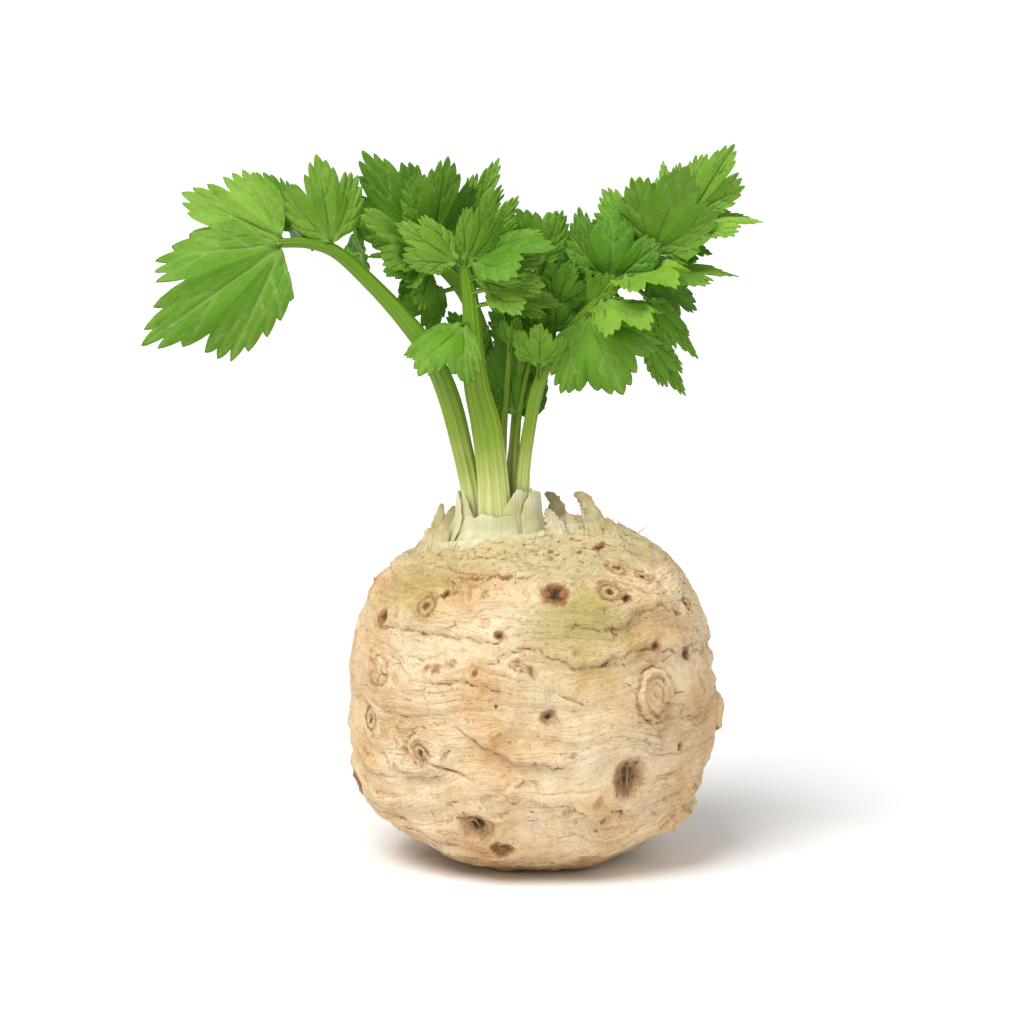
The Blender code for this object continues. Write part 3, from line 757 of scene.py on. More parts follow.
# Half of a blade's outline through the tips of its teeth: degrees from its midline and reach.
REACH = (
    (0, 1.02), (7.5, 0.95), (15.5, 0.86), (23, 0.80), (29, 0.83), (44, 0.88), (60, 0.73), (77, 0.50),
)
LOBES = ((0, 1.0), (44, 0.86), (-44, 0.86))
SINUS, SINUS_HALF = 22.5, 4.5  # where the deep notch between two lobes lies, in degrees
AT_END = 0.98  # from this share of the way on, a leaflet continues its stalk
ASIDE = 0.85  # before that, it begins beside the stalk: how little it is moved along it, up to 1
END_LAP = 2.5  # how far back along its stalk a leaflet at the end begins
# Each leaflet: its stalk and the share of the way along it, the tip, the way that its upper face
# looks (azimuth from the front and elevation, in degrees), its width, the share of its length
# that is stem, and how far it bows towards its upper face. Millimetres.
LEAFLETS = {
    "leaflet_left_low": ("stalk_left", 1.00, (-118, -25, 166), (0, 10), 37, 0.05, 4),
    "leaflet_left_high": ("stalk_left", 1.00, (-108, 0, 211), (-5, 15), 28, 0.05, 3),
    "leaflet_left_round": ("stalk_left", 0.90, (-85, 10, 216), (15, 10), 14, 0.15, 2),
    "leaflet_left_mid": ("stalk_left", 0.80, (-65, -15, 223), (5, 10), 23, 0.05, 2),
    "leaflet_left_back": ("stalk_left", 0.90, (-83, 30, 204), (170, 30), 22, 0.15, 3),
    "leaflet_left_rear": ("stalk_left", 0.70, (-56, 45, 206), (160, 25), 24, 0.20, 3),
    "leaflet_back_left": ("stalk_back", 1.00, (-52, 10, 222), (-15, 40), 26, 0.10, 3),
    "leaflet_back_top": ("stalk_back", 0.95, (-39, 25, 218), (0, 35), 22, 0.15, 3),
    "leaflet_back_mid": ("stalk_back", 0.95, (-25, 0, 222), (15, 30), 22, 0.15, 2),
    "leaflet_back_right": ("stalk_back", 0.85, (-9, 15, 220), (25, 40), 12, 0.30, 2),
    "leaflet_back_low": ("stalk_back", 0.95, (-50, -25, 206), (-10, 35), 20, 0.10, 2),
    "leaflet_back_fold": ("stalk_back", 0.90, (-44, -10, 185), (-20, 15), 24, 0.15, 4),
    "leaflet_back_side": ("stalk_back", 0.75, (-40, 10, 170), (-40, 40), 22, 0.20, 4),
    "leaflet_back_rear": ("stalk_back", 0.70, (-23, 40, 187), (170, 50), 28, 0.20, 4),
    "leaflet_middle_top": ("stalk_middle", 1.00, (-11, -20, 212), (10, 25), 13, 0.10, 2),
    "leaflet_middle_right": ("stalk_middle", 1.00, (-3, -5, 210), (30, 45), 10, 0.25, 2),
    "leaflet_middle_arch": ("stalk_middle", 0.95, (8, -25, 197), (5, 50), 22, 0.10, 6),
    "leaflet_middle_curl": ("stalk_middle", 0.85, (5, -20, 184), (25, 35), 18, 0.20, 4),
    "leaflet_middle_side": ("stalk_middle", 0.80, (11, -10, 178), (15, 55), 14, 0.30, 3),
    "leaflet_middle_low": ("stalk_middle", 0.75, (-34, -25, 157), (-25, 25), 24, 0.10, 5),
    "leaflet_inner_left": ("stalk_right_inner", 0.95, (-3, -5, 206), (-10, 20), 24, 0.10, 2),
    "leaflet_inner_top": ("stalk_right_outer", 0.65, (16, 15, 203), (5, 15), 18, 0.10, 2),
    "leaflet_inner_back": ("stalk_right_inner", 0.90, (8, 20, 200), (175, 30), 20, 0.20, 3),
    "leaflet_inner_low": ("stalk_right_outer", 0.35, (4, -20, 172), (0, 25), 16, 0.25, 2),
    "leaflet_inner_young": ("stalk_right_inner", 0.45, (-9, 10, 163), (-10, 20), 14, 0.30, 2),
    "leaflet_outer_inside": ("stalk_right_outer", 0.45, (10, 0, 184), (-5, 20), 14, 0.20, 2),
    "leaflet_outer_tip": ("stalk_right_outer", 1.00, (64, 0, 225), (-5, 25), 18, 0.20, 2),
    "leaflet_outer_tip_left": ("stalk_right_outer", 0.95, (48, 20, 219), (10, 20), 11, 0.30, 2),
    "leaflet_outer_tip_right": ("stalk_right_outer", 1.00, (69, 5, 203), (10, 50), 9, 0.20, 2),
    "leaflet_outer_point": ("stalk_right_outer", 0.95, (72, -10, 203), (15, 55), 10, 0.15, 3),
    "leaflet_outer_side": ("stalk_right_outer", 0.90, (57, -5, 192), (15, 50), 14, 0.10, 2),
    "leaflet_outer_spear": ("stalk_right_outer", 0.80, (65, -5, 185), (5, 55), 11, 0.15, 3),
    "leaflet_outer_side_low": ("stalk_right_outer", 0.80, (52, 5, 173), (20, 30), 18, 0.15, 2),
    "leaflet_outer_big": ("stalk_right_outer", 0.85, (49, -15, 220), (5, 25), 28, 0.05, 3),
    "leaflet_outer_high": ("stalk_right_outer", 0.85, (22, 10, 212), (-20, 25), 18, 0.20, 3),
    "leaflet_outer_high_right": ("stalk_right_outer", 0.85, (39, 0, 213), (-5, 20), 18, 0.20, 2),
    "leaflet_outer_dark": ("stalk_right_outer", 0.70, (27, -10, 205), (-10, 20), 28, 0.05, 3),
    "leaflet_outer_pale": ("stalk_right_outer", 0.75, (45, -30, 185), (15, 50), 22, 0.10, 4),
    "leaflet_outer_pale_low": ("stalk_right_outer", 0.65, (37, -30, 170), (20, 35), 20, 0.10, 5),
    "leaflet_outer_low": ("stalk_right_outer", 0.60, (29, -20, 150), (-5, 10), 34, 0.05, 5),
    "leaflet_outer_lower_side": ("stalk_right_outer", 0.75, (53, -10, 160), (20, 40), 12, 0.30, 4),
    "leaflet_outer_hanging": ("stalk_right_outer", 0.70, (49, 0, 147), (10, 15), 10, 0.50, 4),
    "leaflet_outer_rear": ("stalk_right_outer", 0.85, (35, 40, 184), (175, 45), 28, 0.20, 4),
    "leaflet_outer_rear_low": ("stalk_right_outer", 0.65, (18, 30, 172), (170, 40), 24, 0.25, 4),
}

# Small leaflets that fill the middle of the bunch, on the young stalks and between the others.
SMALL_LEAFLETS = {
    "small_leaflet_fold": ("stalk_back", 0.92, (-36, -12, 183), (-35, 10), 20, 0.10, 5),
    "small_leaflet_centre": ("stalk_middle", 0.96, (-41, -14, 202), (-15, 30), 16, 0.10, 3),
    "small_leaflet_bright": ("stalk_middle", 0.90, (4, -16, 191), (15, 25), 18, 0.10, 5),
    "small_leaflet_strip": ("young_stalk_middle", 0.70, (3, -8, 178), (0, 15), 9, 0.15, 2),
    "small_leaflet_young": ("young_stalk_middle", 1.00, (15, -6, 190), (-5, 20), 15, 0.10, 3),
    "small_leaflet_narrow": ("young_stalk_left", 1.00, (-8, -10, 188), (5, 20), 11, 0.10, 2),
    "small_leaflet_low": ("young_stalk_left", 0.75, (-3, -12, 173), (10, 20), 9, 0.15, 2),
    "small_leaflet_right": ("young_stalk_right", 1.00, (27, -12, 186), (10, 30), 18, 0.10, 4),
    "small_leaflet_under": ("young_stalk_right", 0.85, (17, -12, 160), (5, 20), 13, 0.15, 3),
    "small_leaflet_back": ("young_stalk_back", 1.00, (26, 18, 196), (10, 25), 22, 0.10, 3),
    "small_leaflet_behind": ("young_stalk_back", 0.85, (3, 26, 188), (180, 30), 20, 0.15, 4),
    "small_leaflet_thread": ("stalk_right_outer", 0.93, (42, 6, 220), (0, 20), 7, 0.25, 3),
    # The four dark leaflets below lie deep in the bunch; their dark green is painted shade.
    "small_leaflet_dark_low": ("young_stalk_middle", 0.40, (-9, 6, 170), (-5, 5), 13, 0.05, 2),
    "small_leaflet_dark_side": ("young_stalk_right", 0.35, (0, 5, 166), (5, 5), 11, 0.05, 2),
    "small_leaflet_dark_high": ("young_stalk_back", 0.55, (-3, 16, 182), (0, 10), 20, 0.10, 3),
    "small_leaflet_dark_left": ("stalk_back", 0.45, (-25, 12, 172), (-10, 10), 14, 0.15, 3),
}
LEAFLETS.update(SMALL_LEAFLETS)
# How pale, and so how young, a leaflet is, from 0 to 1, where it isn't a middling green.
MIDDLING = 0.38
# The tones are partly painted light: dark for shade deep in the bunch, pale where light falls.
YOUTH_AND_PAINTED_LIGHT = {
    "leaflet_left_high": 0.72, "leaflet_left_mid": 0.55, "leaflet_left_back": 0.25,
    "leaflet_left_rear": 0.3, "leaflet_back_left": 0.15, "leaflet_back_top": 0.15,
    "leaflet_back_mid": 0.28, "leaflet_back_right": 0.5, "leaflet_back_low": 0.78,
    "leaflet_back_side": 0.5, "leaflet_middle_right": 0.5, "leaflet_middle_arch": 0.3,
    "leaflet_middle_curl": 0.75, "leaflet_middle_side": 0.55, "leaflet_middle_low": 0.42,
    "leaflet_inner_top": 0.12, "leaflet_inner_low": 0.55, "leaflet_inner_young": 0.15,
    "leaflet_outer_tip": 0.62, "leaflet_outer_tip_right": 0.5, "leaflet_outer_point": 0.82,
    "leaflet_outer_spear": 0.55, "leaflet_outer_side": 0.28, "leaflet_outer_side_low": 0.1,
    "leaflet_outer_high": 0.55, "leaflet_outer_dark": 0.08, "leaflet_outer_pale": 0.85,
    "leaflet_outer_pale_low": 0.8, "leaflet_outer_hanging": 0.5,
    "leaflet_outer_rear": 0.3, "small_leaflet_fold": 0.5,
    "small_leaflet_centre": 0.72, "small_leaflet_bright": 0.7, "small_leaflet_strip": 0.6,
    "small_leaflet_narrow": 0.55, "small_leaflet_low": 0.5, "small_leaflet_under": 0.3,
    "small_leaflet_right": 0.6, "small_leaflet_thread": 0.9, "small_leaflet_back": 0.15,
    "small_leaflet_dark_low": 0.12, "small_leaflet_dark_side": 0.3,
    "small_leaflet_dark_high": 0.1, "small_leaflet_dark_left": 0.2,
}


def outline(tips, picker):
    """The margin of one blade: degrees and reach at each column, and where its teeth end."""
    degrees, reach, ends = [], [], []
    envelope_at, envelope = zip(*REACH)
    for i, tip in enumerate(tips[:-1]):
        after = tips[i + 1]
        depth = picker.uniform(0.06, 0.12)
        if abs(abs((tip + after) / 2) - SINUS) < SINUS_HALF:
            depth = picker.uniform(0.12, 0.24)
        outward = 1 if tip + after > 0 else -1
        notch = 0.5 + 0.13 * outward
        for column in range(TOOTH_COLUMNS):
            share = column / TOOTH_COLUMNS
            if share < 0.5:
                moved = share / 0.5 * notch
                drop = (share / 0.5) ** (1.15 if outward < 0 else 1.7)
            else:
                moved = notch + (share - 0.5) / 0.5 * (1 - notch)
                drop = ((1 - share) / 0.5) ** (1.7 if outward < 0 else 1.15)
            angle = tip + (after - tip) * moved
            degrees.append(angle)
            reach.append(np.interp(abs(angle), envelope_at, envelope) * (1 - depth * drop))
        ends.append((tip, np.interp(abs(tip), envelope_at, envelope)))
    degrees.append(tips[-1])
    reach.append(envelope[-1])
    ends.append((tips[-1], envelope[-1]))
    return np.array(degrees), np.array(reach), ends


def vein_map(x, y, ends):
    """How close each place on a flat blade is to a vein, from 0 to 1."""
    lines = []
    for lobe, length in LOBES:
        axis = np.array((math.sin(math.radians(lobe)), math.cos(math.radians(lobe))))
        lines.append((np.zeros(2), axis * length * 0.98, 0.014))
        for tip, reach in ends:
            own = min(LOBES, key=lambda other: abs(other[0] - tip))
            if own[0] != lobe or abs(tip - lobe) < 2:
                continue
            end = reach * np.array((math.sin(math.radians(tip)), math.cos(math.radians(tip))))
            ahead = end @ axis
            aside = np.linalg.norm(end - axis * ahead)
            start = axis * max(0.04, ahead - aside / math.tan(math.radians(33)))
            lines.append((start, end * 0.97, 0.010))
            for back in (0.34, 0.62):
                branch = start + (end - start) * back
                side = end - start
                normal = np.array((-side[1], side[0])) * (1 if tip > lobe else -1)
                lines.append((branch, branch + side * 0.30 - normal * 0.20, 0.006))
                lines.append((branch, branch + side * 0.30 + normal * 0.20, 0.006))
    veins = np.zeros(len(x))
    spots = np.stack((x, y), 1)
    for start, end, width in lines:
        line = end - start
        share = np.clip((spots - start) @ line / (line @ line), 0, 1)
        gap = np.linalg.norm(spots - start - share[:, None] * line, axis=1)
        taper = width * (1.25 - 0.75 * share)
        strength = min(1.0, 0.35 + width / 0.02)
        veins = np.maximum(veins, strength * np.exp(-((gap / taper) ** 2)))
    return veins


def leaf_blade(name, pale_side):
    """Fresh leaf blade: deep green between lighter veins; its underside is paler and more matt."""
    leaf, shader = new_material(name)
    place = node(leaf, "TexCoord", out="Object")
    vein = node(leaf, "Attribute", out="Fac", attribute_name="vein")
    youth = node(leaf, "Attribute", out="Fac", attribute_name="youth")
    stem = node(leaf, "Attribute", out="Fac", attribute_name="stem")
    # Broad patches of 12 mm, and the fine net between the veins, 1.1 mm across.
    patches = node(leaf, "TexNoise", {"Vector": place, "Scale": 85.0, "Detail": 3.0})
    net = node(leaf, "TexVoronoi", {"Vector": place, "Scale": 900.0}, feature="DISTANCE_TO_EDGE")
    # The leaflet's tone, from its youth and from painted shade and light, moves it along the greens.
    mixed = node(leaf, "Math", {
        0: node(leaf, "Math", {0: patches, 1: -0.5}, operation="ADD"),
        1: 0.9,
        2: youth,
    }, operation="MULTIPLY_ADD")
    if pale_side:
        greens = ((0.0, "#55901a"), (0.5, "#77ab2a"), (1.0, "#9cc84a"))
        vein_colour = "#a5c56a"
    else:
        greens = ((0.0, "#1a5200"), (0.35, "#448c00"), (0.7, "#72b400"), (1.0, "#a4d81c"))
        vein_colour = "#a6cb50"
    green = node(leaf, "ValToRGB", {0: mixed}, stops=greens)
    net_share = node(leaf, "MapRange", {0: net, 1: 0.0, 2: 0.16, 3: 0.13, 4: 0.0}, clamp=True)
    colour = node(leaf, "Mix", {0: net_share, 6: green, 7: vein_colour}, data_type="RGBA", out=2)
    vein_share = node(leaf, "Math", {0: vein, 1: 0.72}, operation="MULTIPLY")
    colour = node(leaf, "Mix", {0: vein_share, 6: colour, 7: vein_colour}, data_type="RGBA", out=2)
    colour = node(leaf, "Mix", {0: stem, 6: colour, 7: "#86ad3f"}, data_type="RGBA", out=2)
    leaf.node_tree.links.new(colour, shader.inputs["Base Color"])
    shader.inputs["Roughness"].default_value = 0.55 if pale_side else 0.36
    shader.inputs["Specular IOR Level"].default_value = 0.28
    shader.inputs["IOR"].default_value = 1.42
    puffed = node(leaf, "Bump", {"Height": net, "Distance": 0.0005, "Strength": 0.4})
    leaf.node_tree.links.new(puffed, shader.inputs["Normal"])
    # Light that comes through the thin blade.
    glow = node(leaf, "BsdfTranslucent", {"Color": colour, "Normal": puffed})
    both = node(leaf, "MixShader", {0: 0.28, 1: shader.outputs[0], 2: glow})
    leaf.node_tree.links.new(both, leaf.node_tree.nodes["Material Output"].inputs["Surface"])
    return leaf


upper_face = leaf_blade("leaf blade upper face", False)
underside = leaf_blade("leaf blade underside", True)
tooth_tips = tuple(-tip for tip in reversed(TEETH[1:])) + TEETH
blade_columns = (len(tooth_tips) - 1) * TOOTH_COLUMNS
blade_rows = STEM_ROWS + BLADE_ROWS
for number, (name, row) in enumerate(LEAFLETS.items()):
    stalk_name, share, tip, face, width, stem, bow = row
    picker = random.Random(number + 40)
    route, halves, _ = STALKS[stalk_name]
    start = along(route, share)[0]
    tip = np.array(tip, float)
    normal = radial(face[0]) * math.cos(math.radians(face[1]))
    normal = normal + np.array((0, 0, math.sin(math.radians(face[1]))))
    aside = tip - start
    if share < AT_END:
        ahead = heading(route, np.array([share]))[0]
        aside = aside - ahead * (aside @ ahead) * ASIDE
        start = start + unit(aside) * halves_at(halves, share)[0, 1] * 0.5
    else:
        start = start - heading(route, np.array([share]))[0] * END_LAP
    middle = (start + tip) / 2 + normal * bow

    bm = bmesh.new()
    bmesh.ops.create_grid(bm, x_segments=blade_columns, y_segments=blade_rows, size=1)
    flat = coordinates(bm)
    column = np.rint((flat[:, 0] + 1) / 2 * blade_columns).astype(int)
    level = np.rint((flat[:, 1] + 1) / 2 * blade_rows)
    jittered = [tooth + picker.uniform(-1, 1) * TOOTH_JITTER for tooth in tooth_tips]
    degrees, reach, ends = outline(jittered, picker)
    fan = np.linspace(-1, 1, blade_columns + 1)[column]
    out = np.clip((level - STEM_ROWS) / BLADE_ROWS, 0, 1)
    angle = np.radians(degrees)[column]
    x, y = out * reach[column] * np.sin(angle), out * reach[column] * np.cos(angle)
    veins = vein_map(x, y, ends)
    stem_share = np.clip(level / STEM_ROWS, 0, 1)
    length = stem * stem_share + (1 - stem) * y
    half = STEM_HALF_WIDTH * (1 - out)
    across = x * width / (2 * BLADE_WIDEST) + fan * half

    roll = STEM_ROLL * (1 - step(0.0, 0.22, out)) + 0.12
    turned = np.abs(fan) * roll + 1e-6
    raised = np.abs(across) * (1 - np.cos(turned)) / turned
    across = across * np.sin(turned) / turned
    size = width / USUAL_WIDTH
    raised -= BLADE_ARCH * across**2 / width
    wave, ruffle = picker.uniform(0, 6.3), picker.uniform(0, 6.3)
    curl = picker.uniform(-6, 16)
    raised += WAVE * size * out**2 * np.sin(angle * 3.1 + wave)
    raised += RUFFLE * size * out**3 * np.sin(angle * 9 + ruffle)
    raised -= curl * size * np.maximum(out - 0.55, 0) ** 2
    off_lobe = np.min([np.abs(np.degrees(angle) - lobe) for lobe, _ in LOBES], axis=0)
    raised += LOBE_LIFT * size * out * np.minimum(off_lobe / 22, 1) ** 1.3
    raised -= VEIN_DEPTH * veins * step(0.02, 0.2, out)
    raised += PUCKER * rough(np.stack((x, y, 0 * x + number), 1), 0.10, 2) * out

    forward = (middle - start) * 2 * (1 - length)[:, None] + (tip - middle) * 2 * length[:, None]
    side = unit(np.cross(normal, forward))
    out_of_face = unit(np.cross(forward, side))
    spine = (
        start * ((1 - length) ** 2)[:, None]
        + middle * (2 * length * (1 - length))[:, None]
        + tip * (length**2)[:, None]
    )
    points = spine + side * across[:, None] + out_of_face * raised[:, None]
    blade = put(name + "_blade", bm, points)
    # The tone carries the leaflet's youth, and painted shade and light.
    mark(
        blade,
        vein=veins * step(0.0, 0.1, out),
        youth=np.full(len(x), YOUTH_AND_PAINTED_LIGHT.get(name, MIDDLING)),
        stem=1 - step(0.0, 0.16, out),
    )
    blade.data.materials.append(upper_face)
    blade.data.materials.append(underside)
    thicken = blade.modifiers.new("thickness", "SOLIDIFY")
    thicken.thickness = BLADE_THICKNESS * MM
    thicken.offset = 0
    thicken.material_offset = 1
    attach(blade, "root")
    if name not in SMALL_LEAFLETS:
        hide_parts(name)

# ---------------------------------------------------------------------------------------------
# The torn leaf bases. They are what is left of the outer leaves, which were pulled off: thin,
# moist, white walls with green-tinged fibres, standing round the stalks, and torn unevenly.

SHEATH_THICKNESS = 0.7
SHEATH_HALF = (13.7, 11.9)  # of the ring that they form, left to right and front to back
SHEATH_COLUMNS, SHEATH_ROWS = 90, 30
SHEATH_FOOT = 2.5  # how deep they are rooted in the crown
SHEATH_SEAT = SEAT_HEIGHT + 0.4
SHEATH_PEAK = 1.3  # lifts the middle height, because the torn edge passes below it
# Each one: the arc that it covers, in degrees from the front, and the height of its torn edge at
# its start, middle and end.
SHEATHS = {
    "sheath_left": ((-128, -62), (8, 15, 9)),
    "sheath_front": ((-56, 28), (7, 5, 8)),
    "sheath_right": ((34, 112), (10, 15, 9)),
    "sheath_back": ((120, 222), (8, 12, 7)),
}
# More bases inside those, close round the stalks. The last number is the share of the way from
# the middle to the outer ring at which each stands.
INNER_BASES = {
    "inner_base_left": ((-112, -40), (13, 14, 5), 0.88),
    "inner_base_front": ((-48, 8), (4, 7, 4), 0.90),
    "inner_base_right": ((4, 62), (5, 16, 12), 0.84),
    "inner_base_far_right": ((56, 122), (12, 15, 8), 0.80),
    "inner_base_back": ((136, 232), (7, 12, 9), 0.86),
}


def leaf_base_flesh():
    """Torn leaf base: moist, half translucent white tissue with pale green fibres along it."""
    flesh, shader = new_material("torn white leaf base")
    turn = node(flesh, "Attribute", out="Fac", attribute_name="turn")
    rise = node(flesh, "Attribute", out="Fac", attribute_name="rise")
    place = node(flesh, "TexCoord", out="Object")
    # Fibres along the wall, about 0.8 mm apart.
    fibre_at = node(flesh, "CombineXYZ", {
        0: node(flesh, "Math", {0: turn, 1: 1250.0}, operation="MULTIPLY"),
        1: node(flesh, "Math", {0: rise, 1: 60.0}, operation="MULTIPLY"),
    })
    fibres = node(flesh, "TexNoise", {"Vector": fibre_at, "Scale": 1.0, "Detail": 3.0})
    cloudy = node(flesh, "TexNoise", {"Vector": place, "Scale": 150.0, "Detail": 3.0})
    base = node(
        flesh,
        "ValToRGB",
        {0: cloudy},
        stops=((0.30, "#d9d89a"), (0.52, "#e7e3b8"), (0.70, "#f1eed6")),
    )
    share = node(flesh, "MapRange", {0: fibres, 1: 0.5, 2: 0.8, 4: 0.45}, clamp=True)
    colour = node(flesh, "Mix", {0: share, 6: base, 7: "#c3cb7e"}, data_type="RGBA", out=2)
    flesh.node_tree.links.new(colour, shader.inputs["Base Color"])
    shader.inputs["Roughness"].default_value = 0.42
    bumped = node(flesh, "Bump", {"Height": fibres, "Distance": 0.0004, "Strength": 0.4})
    flesh.node_tree.links.new(bumped, shader.inputs["Normal"])
    glow = node(flesh, "BsdfTranslucent", {"Color": colour, "Normal": bumped})
    both = node(flesh, "MixShader", {0: 0.25, 1: shader.outputs[0], 2: glow})
    flesh.node_tree.links.new(both, flesh.node_tree.nodes["Material Output"].inputs["Surface"])
    return flesh


base_flesh = leaf_base_flesh()
bases = [(name, *row, 1) for name, row in SHEATHS.items()]
bases += [(name, *row) for name, row in INNER_BASES.items()]
for number, (name, arc, heights, inset) in enumerate(bases):
    bm = bmesh.new()
    bmesh.ops.create_grid(bm, x_segments=SHEATH_COLUMNS, y_segments=SHEATH_ROWS, size=1)
    flat = coordinates(bm)
    share, rise = (flat[:, 0] + 1) / 2, (flat[:, 1] + 1) / 2
    low, mid, high = heights
    height = low * (1 - share) ** 2 + high * share**2 + mid * 2 * share * (1 - share) * SHEATH_PEAK
    height *= 1 - 0.35 * (1 - step(0, 0.10, share)) - 0.35 * step(0.90, 1, share)
    along_edge = np.stack((share * (arc[1] - arc[0]) / 10, 0 * share, 0 * share + number * 9), 1)
    ragged = 0.14 * rough(along_edge, 2.4, 2) + 0.04 * rough(along_edge, 0.4, 2)
    height = height * (1 + ragged - 0.05)
    azimuth = np.radians(arc[0] + (arc[1] - arc[0]) * share)
    ridges = 0.06 * np.cos(share * (arc[1] - arc[0]) * 1.1) * rise
    flare = 0.16 * (1 - step(0.0, 0.6, rise)) - 0.07 * rise**2
    reach_x = SHEATH_HALF[0] * (1 + flare) + ridges + 0.5 * rough(along_edge, 2.5, 2)
    reach_y = SHEATH_HALF[1] * (1 + flare) + ridges + 0.5 * rough(along_edge, 2.5, 2)
    z = SHEATH_SEAT - SHEATH_FOOT + (height + SHEATH_FOOT) * rise
    reach_x, reach_y = reach_x * inset, reach_y * inset
    points = SEAT_CENTRE + np.stack((np.sin(azimuth) * reach_x, -np.cos(azimuth) * reach_y, z), 1)
    sheath = put(name + "_torn", bm, points)
    mark(sheath, turn=azimuth * SHEATH_HALF[0] * MM, rise=height * rise * MM)
    sheath.data.materials.append(base_flesh)
    thicken = sheath.modifiers.new("thickness", "SOLIDIFY")
    thicken.thickness = SHEATH_THICKNESS * MM
    thicken.offset = 0
    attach(sheath, "root")
    if name in SHEATHS:
        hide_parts(name)

# ---------------------------------------------------------------------------------------------
# The remnants. They are the dried bases of the oldest leaves: curved, pointed, fibrous scales on
# the shoulder of the root, straw-coloured, with brown edges and tips, and some still green.

REMNANT_RINGS = 60
REMNANT_SIDES = 40
REMNANT_FOOT = 3  # how deep a remnant is rooted in the skin
# Small torn scales between the remnants: the foot, the middle and the tip of each, and its half
# width. The foot lies under the skin.
TORN_SCALES = {
    "torn_scale_front": ((15, -9), (13.5, -8.5, 107), (12, -8, 111), 2.2),
    "torn_scale_side": ((21, -4), (20, -4, 108), (18, -3.5, 112), 2.0),
    "torn_scale_low": ((26, -1), (26, -1, 105), (25, 0, 108), 1.8),
    "torn_scale_left": ((-28, -7), (-26.5, -6.5, 105), (-25.5, -6, 109), 1.9),
    "torn_scale_back": ((0, 24), (0, 22.5, 106), (-1, 21, 110), 2.0),
    "torn_scale_back_left": ((-26, 14), (-24.5, 13, 106), (-23, 12, 110), 2.0),
}
# The remnants, in the same form.
REMNANTS = {
    "remnant_left": ((-31.5, -2), (-28.5, -2, 105.5), (-27.0, -2, 113.0), 2.4),
    "remnant_right_front": ((9.5, -10), (7.6, -9.5, 108.5), (5.6, -9, 112.5), 2.5),
    "remnant_right": ((22, 2), (18.4, 4, 112.5), (14.6, 6, 115.0), 2.3),
    "remnant_right_back": ((10, 19), (8.5, 20, 110.5), (5.5, 20, 113.0), 2.0),
    "remnant_back": ((-14, 24), (-13.5, 22.5, 107.5), (-13, 20.5, 112.5), 2.2),
}


def dry_scale(name, straws, strings_colour, tip_colour):
    """Dried plant fibre: straw-coloured, matt and stringy, with darker strings and tips."""
    dry, shader = new_material(name)
    turn = node(dry, "Attribute", out="Fac", attribute_name="turn")
    rise = node(dry, "Attribute", out="Fac", attribute_name="rise")
    place = node(dry, "TexCoord", out="Object")
    strings_at = node(dry, "CombineXYZ", {
        0: node(dry, "Math", {0: turn, 1: 14.0}, operation="MULTIPLY"),
        1: node(dry, "Math", {0: rise, 1: 3.0}, operation="MULTIPLY"),
    })
    strings = node(dry, "TexNoise", {"Vector": strings_at, "Scale": 1.0, "Detail": 4.0})
    cloudy = node(dry, "TexNoise", {"Vector": place, "Scale": 260.0, "Detail": 3.0})
    base = node(dry, "ValToRGB", {0: cloudy}, stops=tuple(zip((0.3, 0.5, 0.7), straws)))
    share = node(dry, "MapRange", {0: strings, 1: 0.50, 2: 0.72, 4: 0.8}, clamp=True)
    colour = node(dry, "Mix", {0: share, 6: base, 7: strings_colour}, data_type="RGBA", out=2)
    at_tip = node(dry, "MapRange", {0: rise, 1: 0.55, 2: 1.0, 4: 0.65}, clamp=True)
    colour = node(dry, "Mix", {0: at_tip, 6: colour, 7: tip_colour}, data_type="RGBA", out=2)
    dry.node_tree.links.new(colour, shader.inputs["Base Color"])
    shader.inputs["Roughness"].default_value = 0.7
    bumped = node(dry, "Bump", {"Height": strings, "Distance": 0.0009, "Strength": 0.8})
    dry.node_tree.links.new(bumped, shader.inputs["Normal"])
    return dry


dry_material = dry_scale("dried leaf base", ("#d8c084", "#ecdfae", "#f8f3d8"), "#b48c54", "#cdbf80")
scales = {**REMNANTS, **TORN_SCALES}
crown_points = root_points[root_points[:, 2] > 80]
for number, (name, (foot, middle, tip, half)) in enumerate(scales.items()):
    nearest = np.argmin(np.hypot(crown_points[:, 0] - foot[0], crown_points[:, 1] - foot[1]))
    start = (*foot, crown_points[nearest, 2] - REMNANT_FOOT)
    bm, angle, share = rod(REMNANT_SIDES, REMNANT_RINGS)
    halves = ((half * 1.9, half * 0.34), (half * 1.25, half * 0.18), (0.5, 0.12))
    stringy = rough(np.stack((angle * 2.2, share * 2, 0 * share + number), 1), 1, 3)
    torn = rough(np.stack((0 * share, share * 9, np.sign(np.cos(angle)) + number), 1), 1, 2)
    scale = 1 + 0.25 * stringy + 0.5 * torn * np.abs(np.cos(angle)) * step(0.1, 0.5, share)
    scale -= 0.3 * np.exp(-(((np.degrees(angle) - 90) / 50) ** 2))
    points = sweep((start, middle, tip), halves, angle, share, scale)
    scale_piece = put(name + "_dry", bm, points)
    mark(scale_piece, turn=angle, rise=share)
    scale_piece.data.materials.append(dry_material)
    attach(scale_piece, "root")
    if name in REMNANTS:
        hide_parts(name)

# ---------------------------------------------------------------------------------------------
# The crown's fibres and the rootlets. Fine dry strings of torn leaf bases stand round the collar,
# and thin roots, dried or cut short, lie on the skin and in the pits of the side roots.

CROWN_FIBRES, ROOT_HAIRS = 150, 70
STRAND_SIDES, STRAND_RINGS = 6, 10
STRAND_SPACING = 10  # only keeps the strands apart until each is put in its place


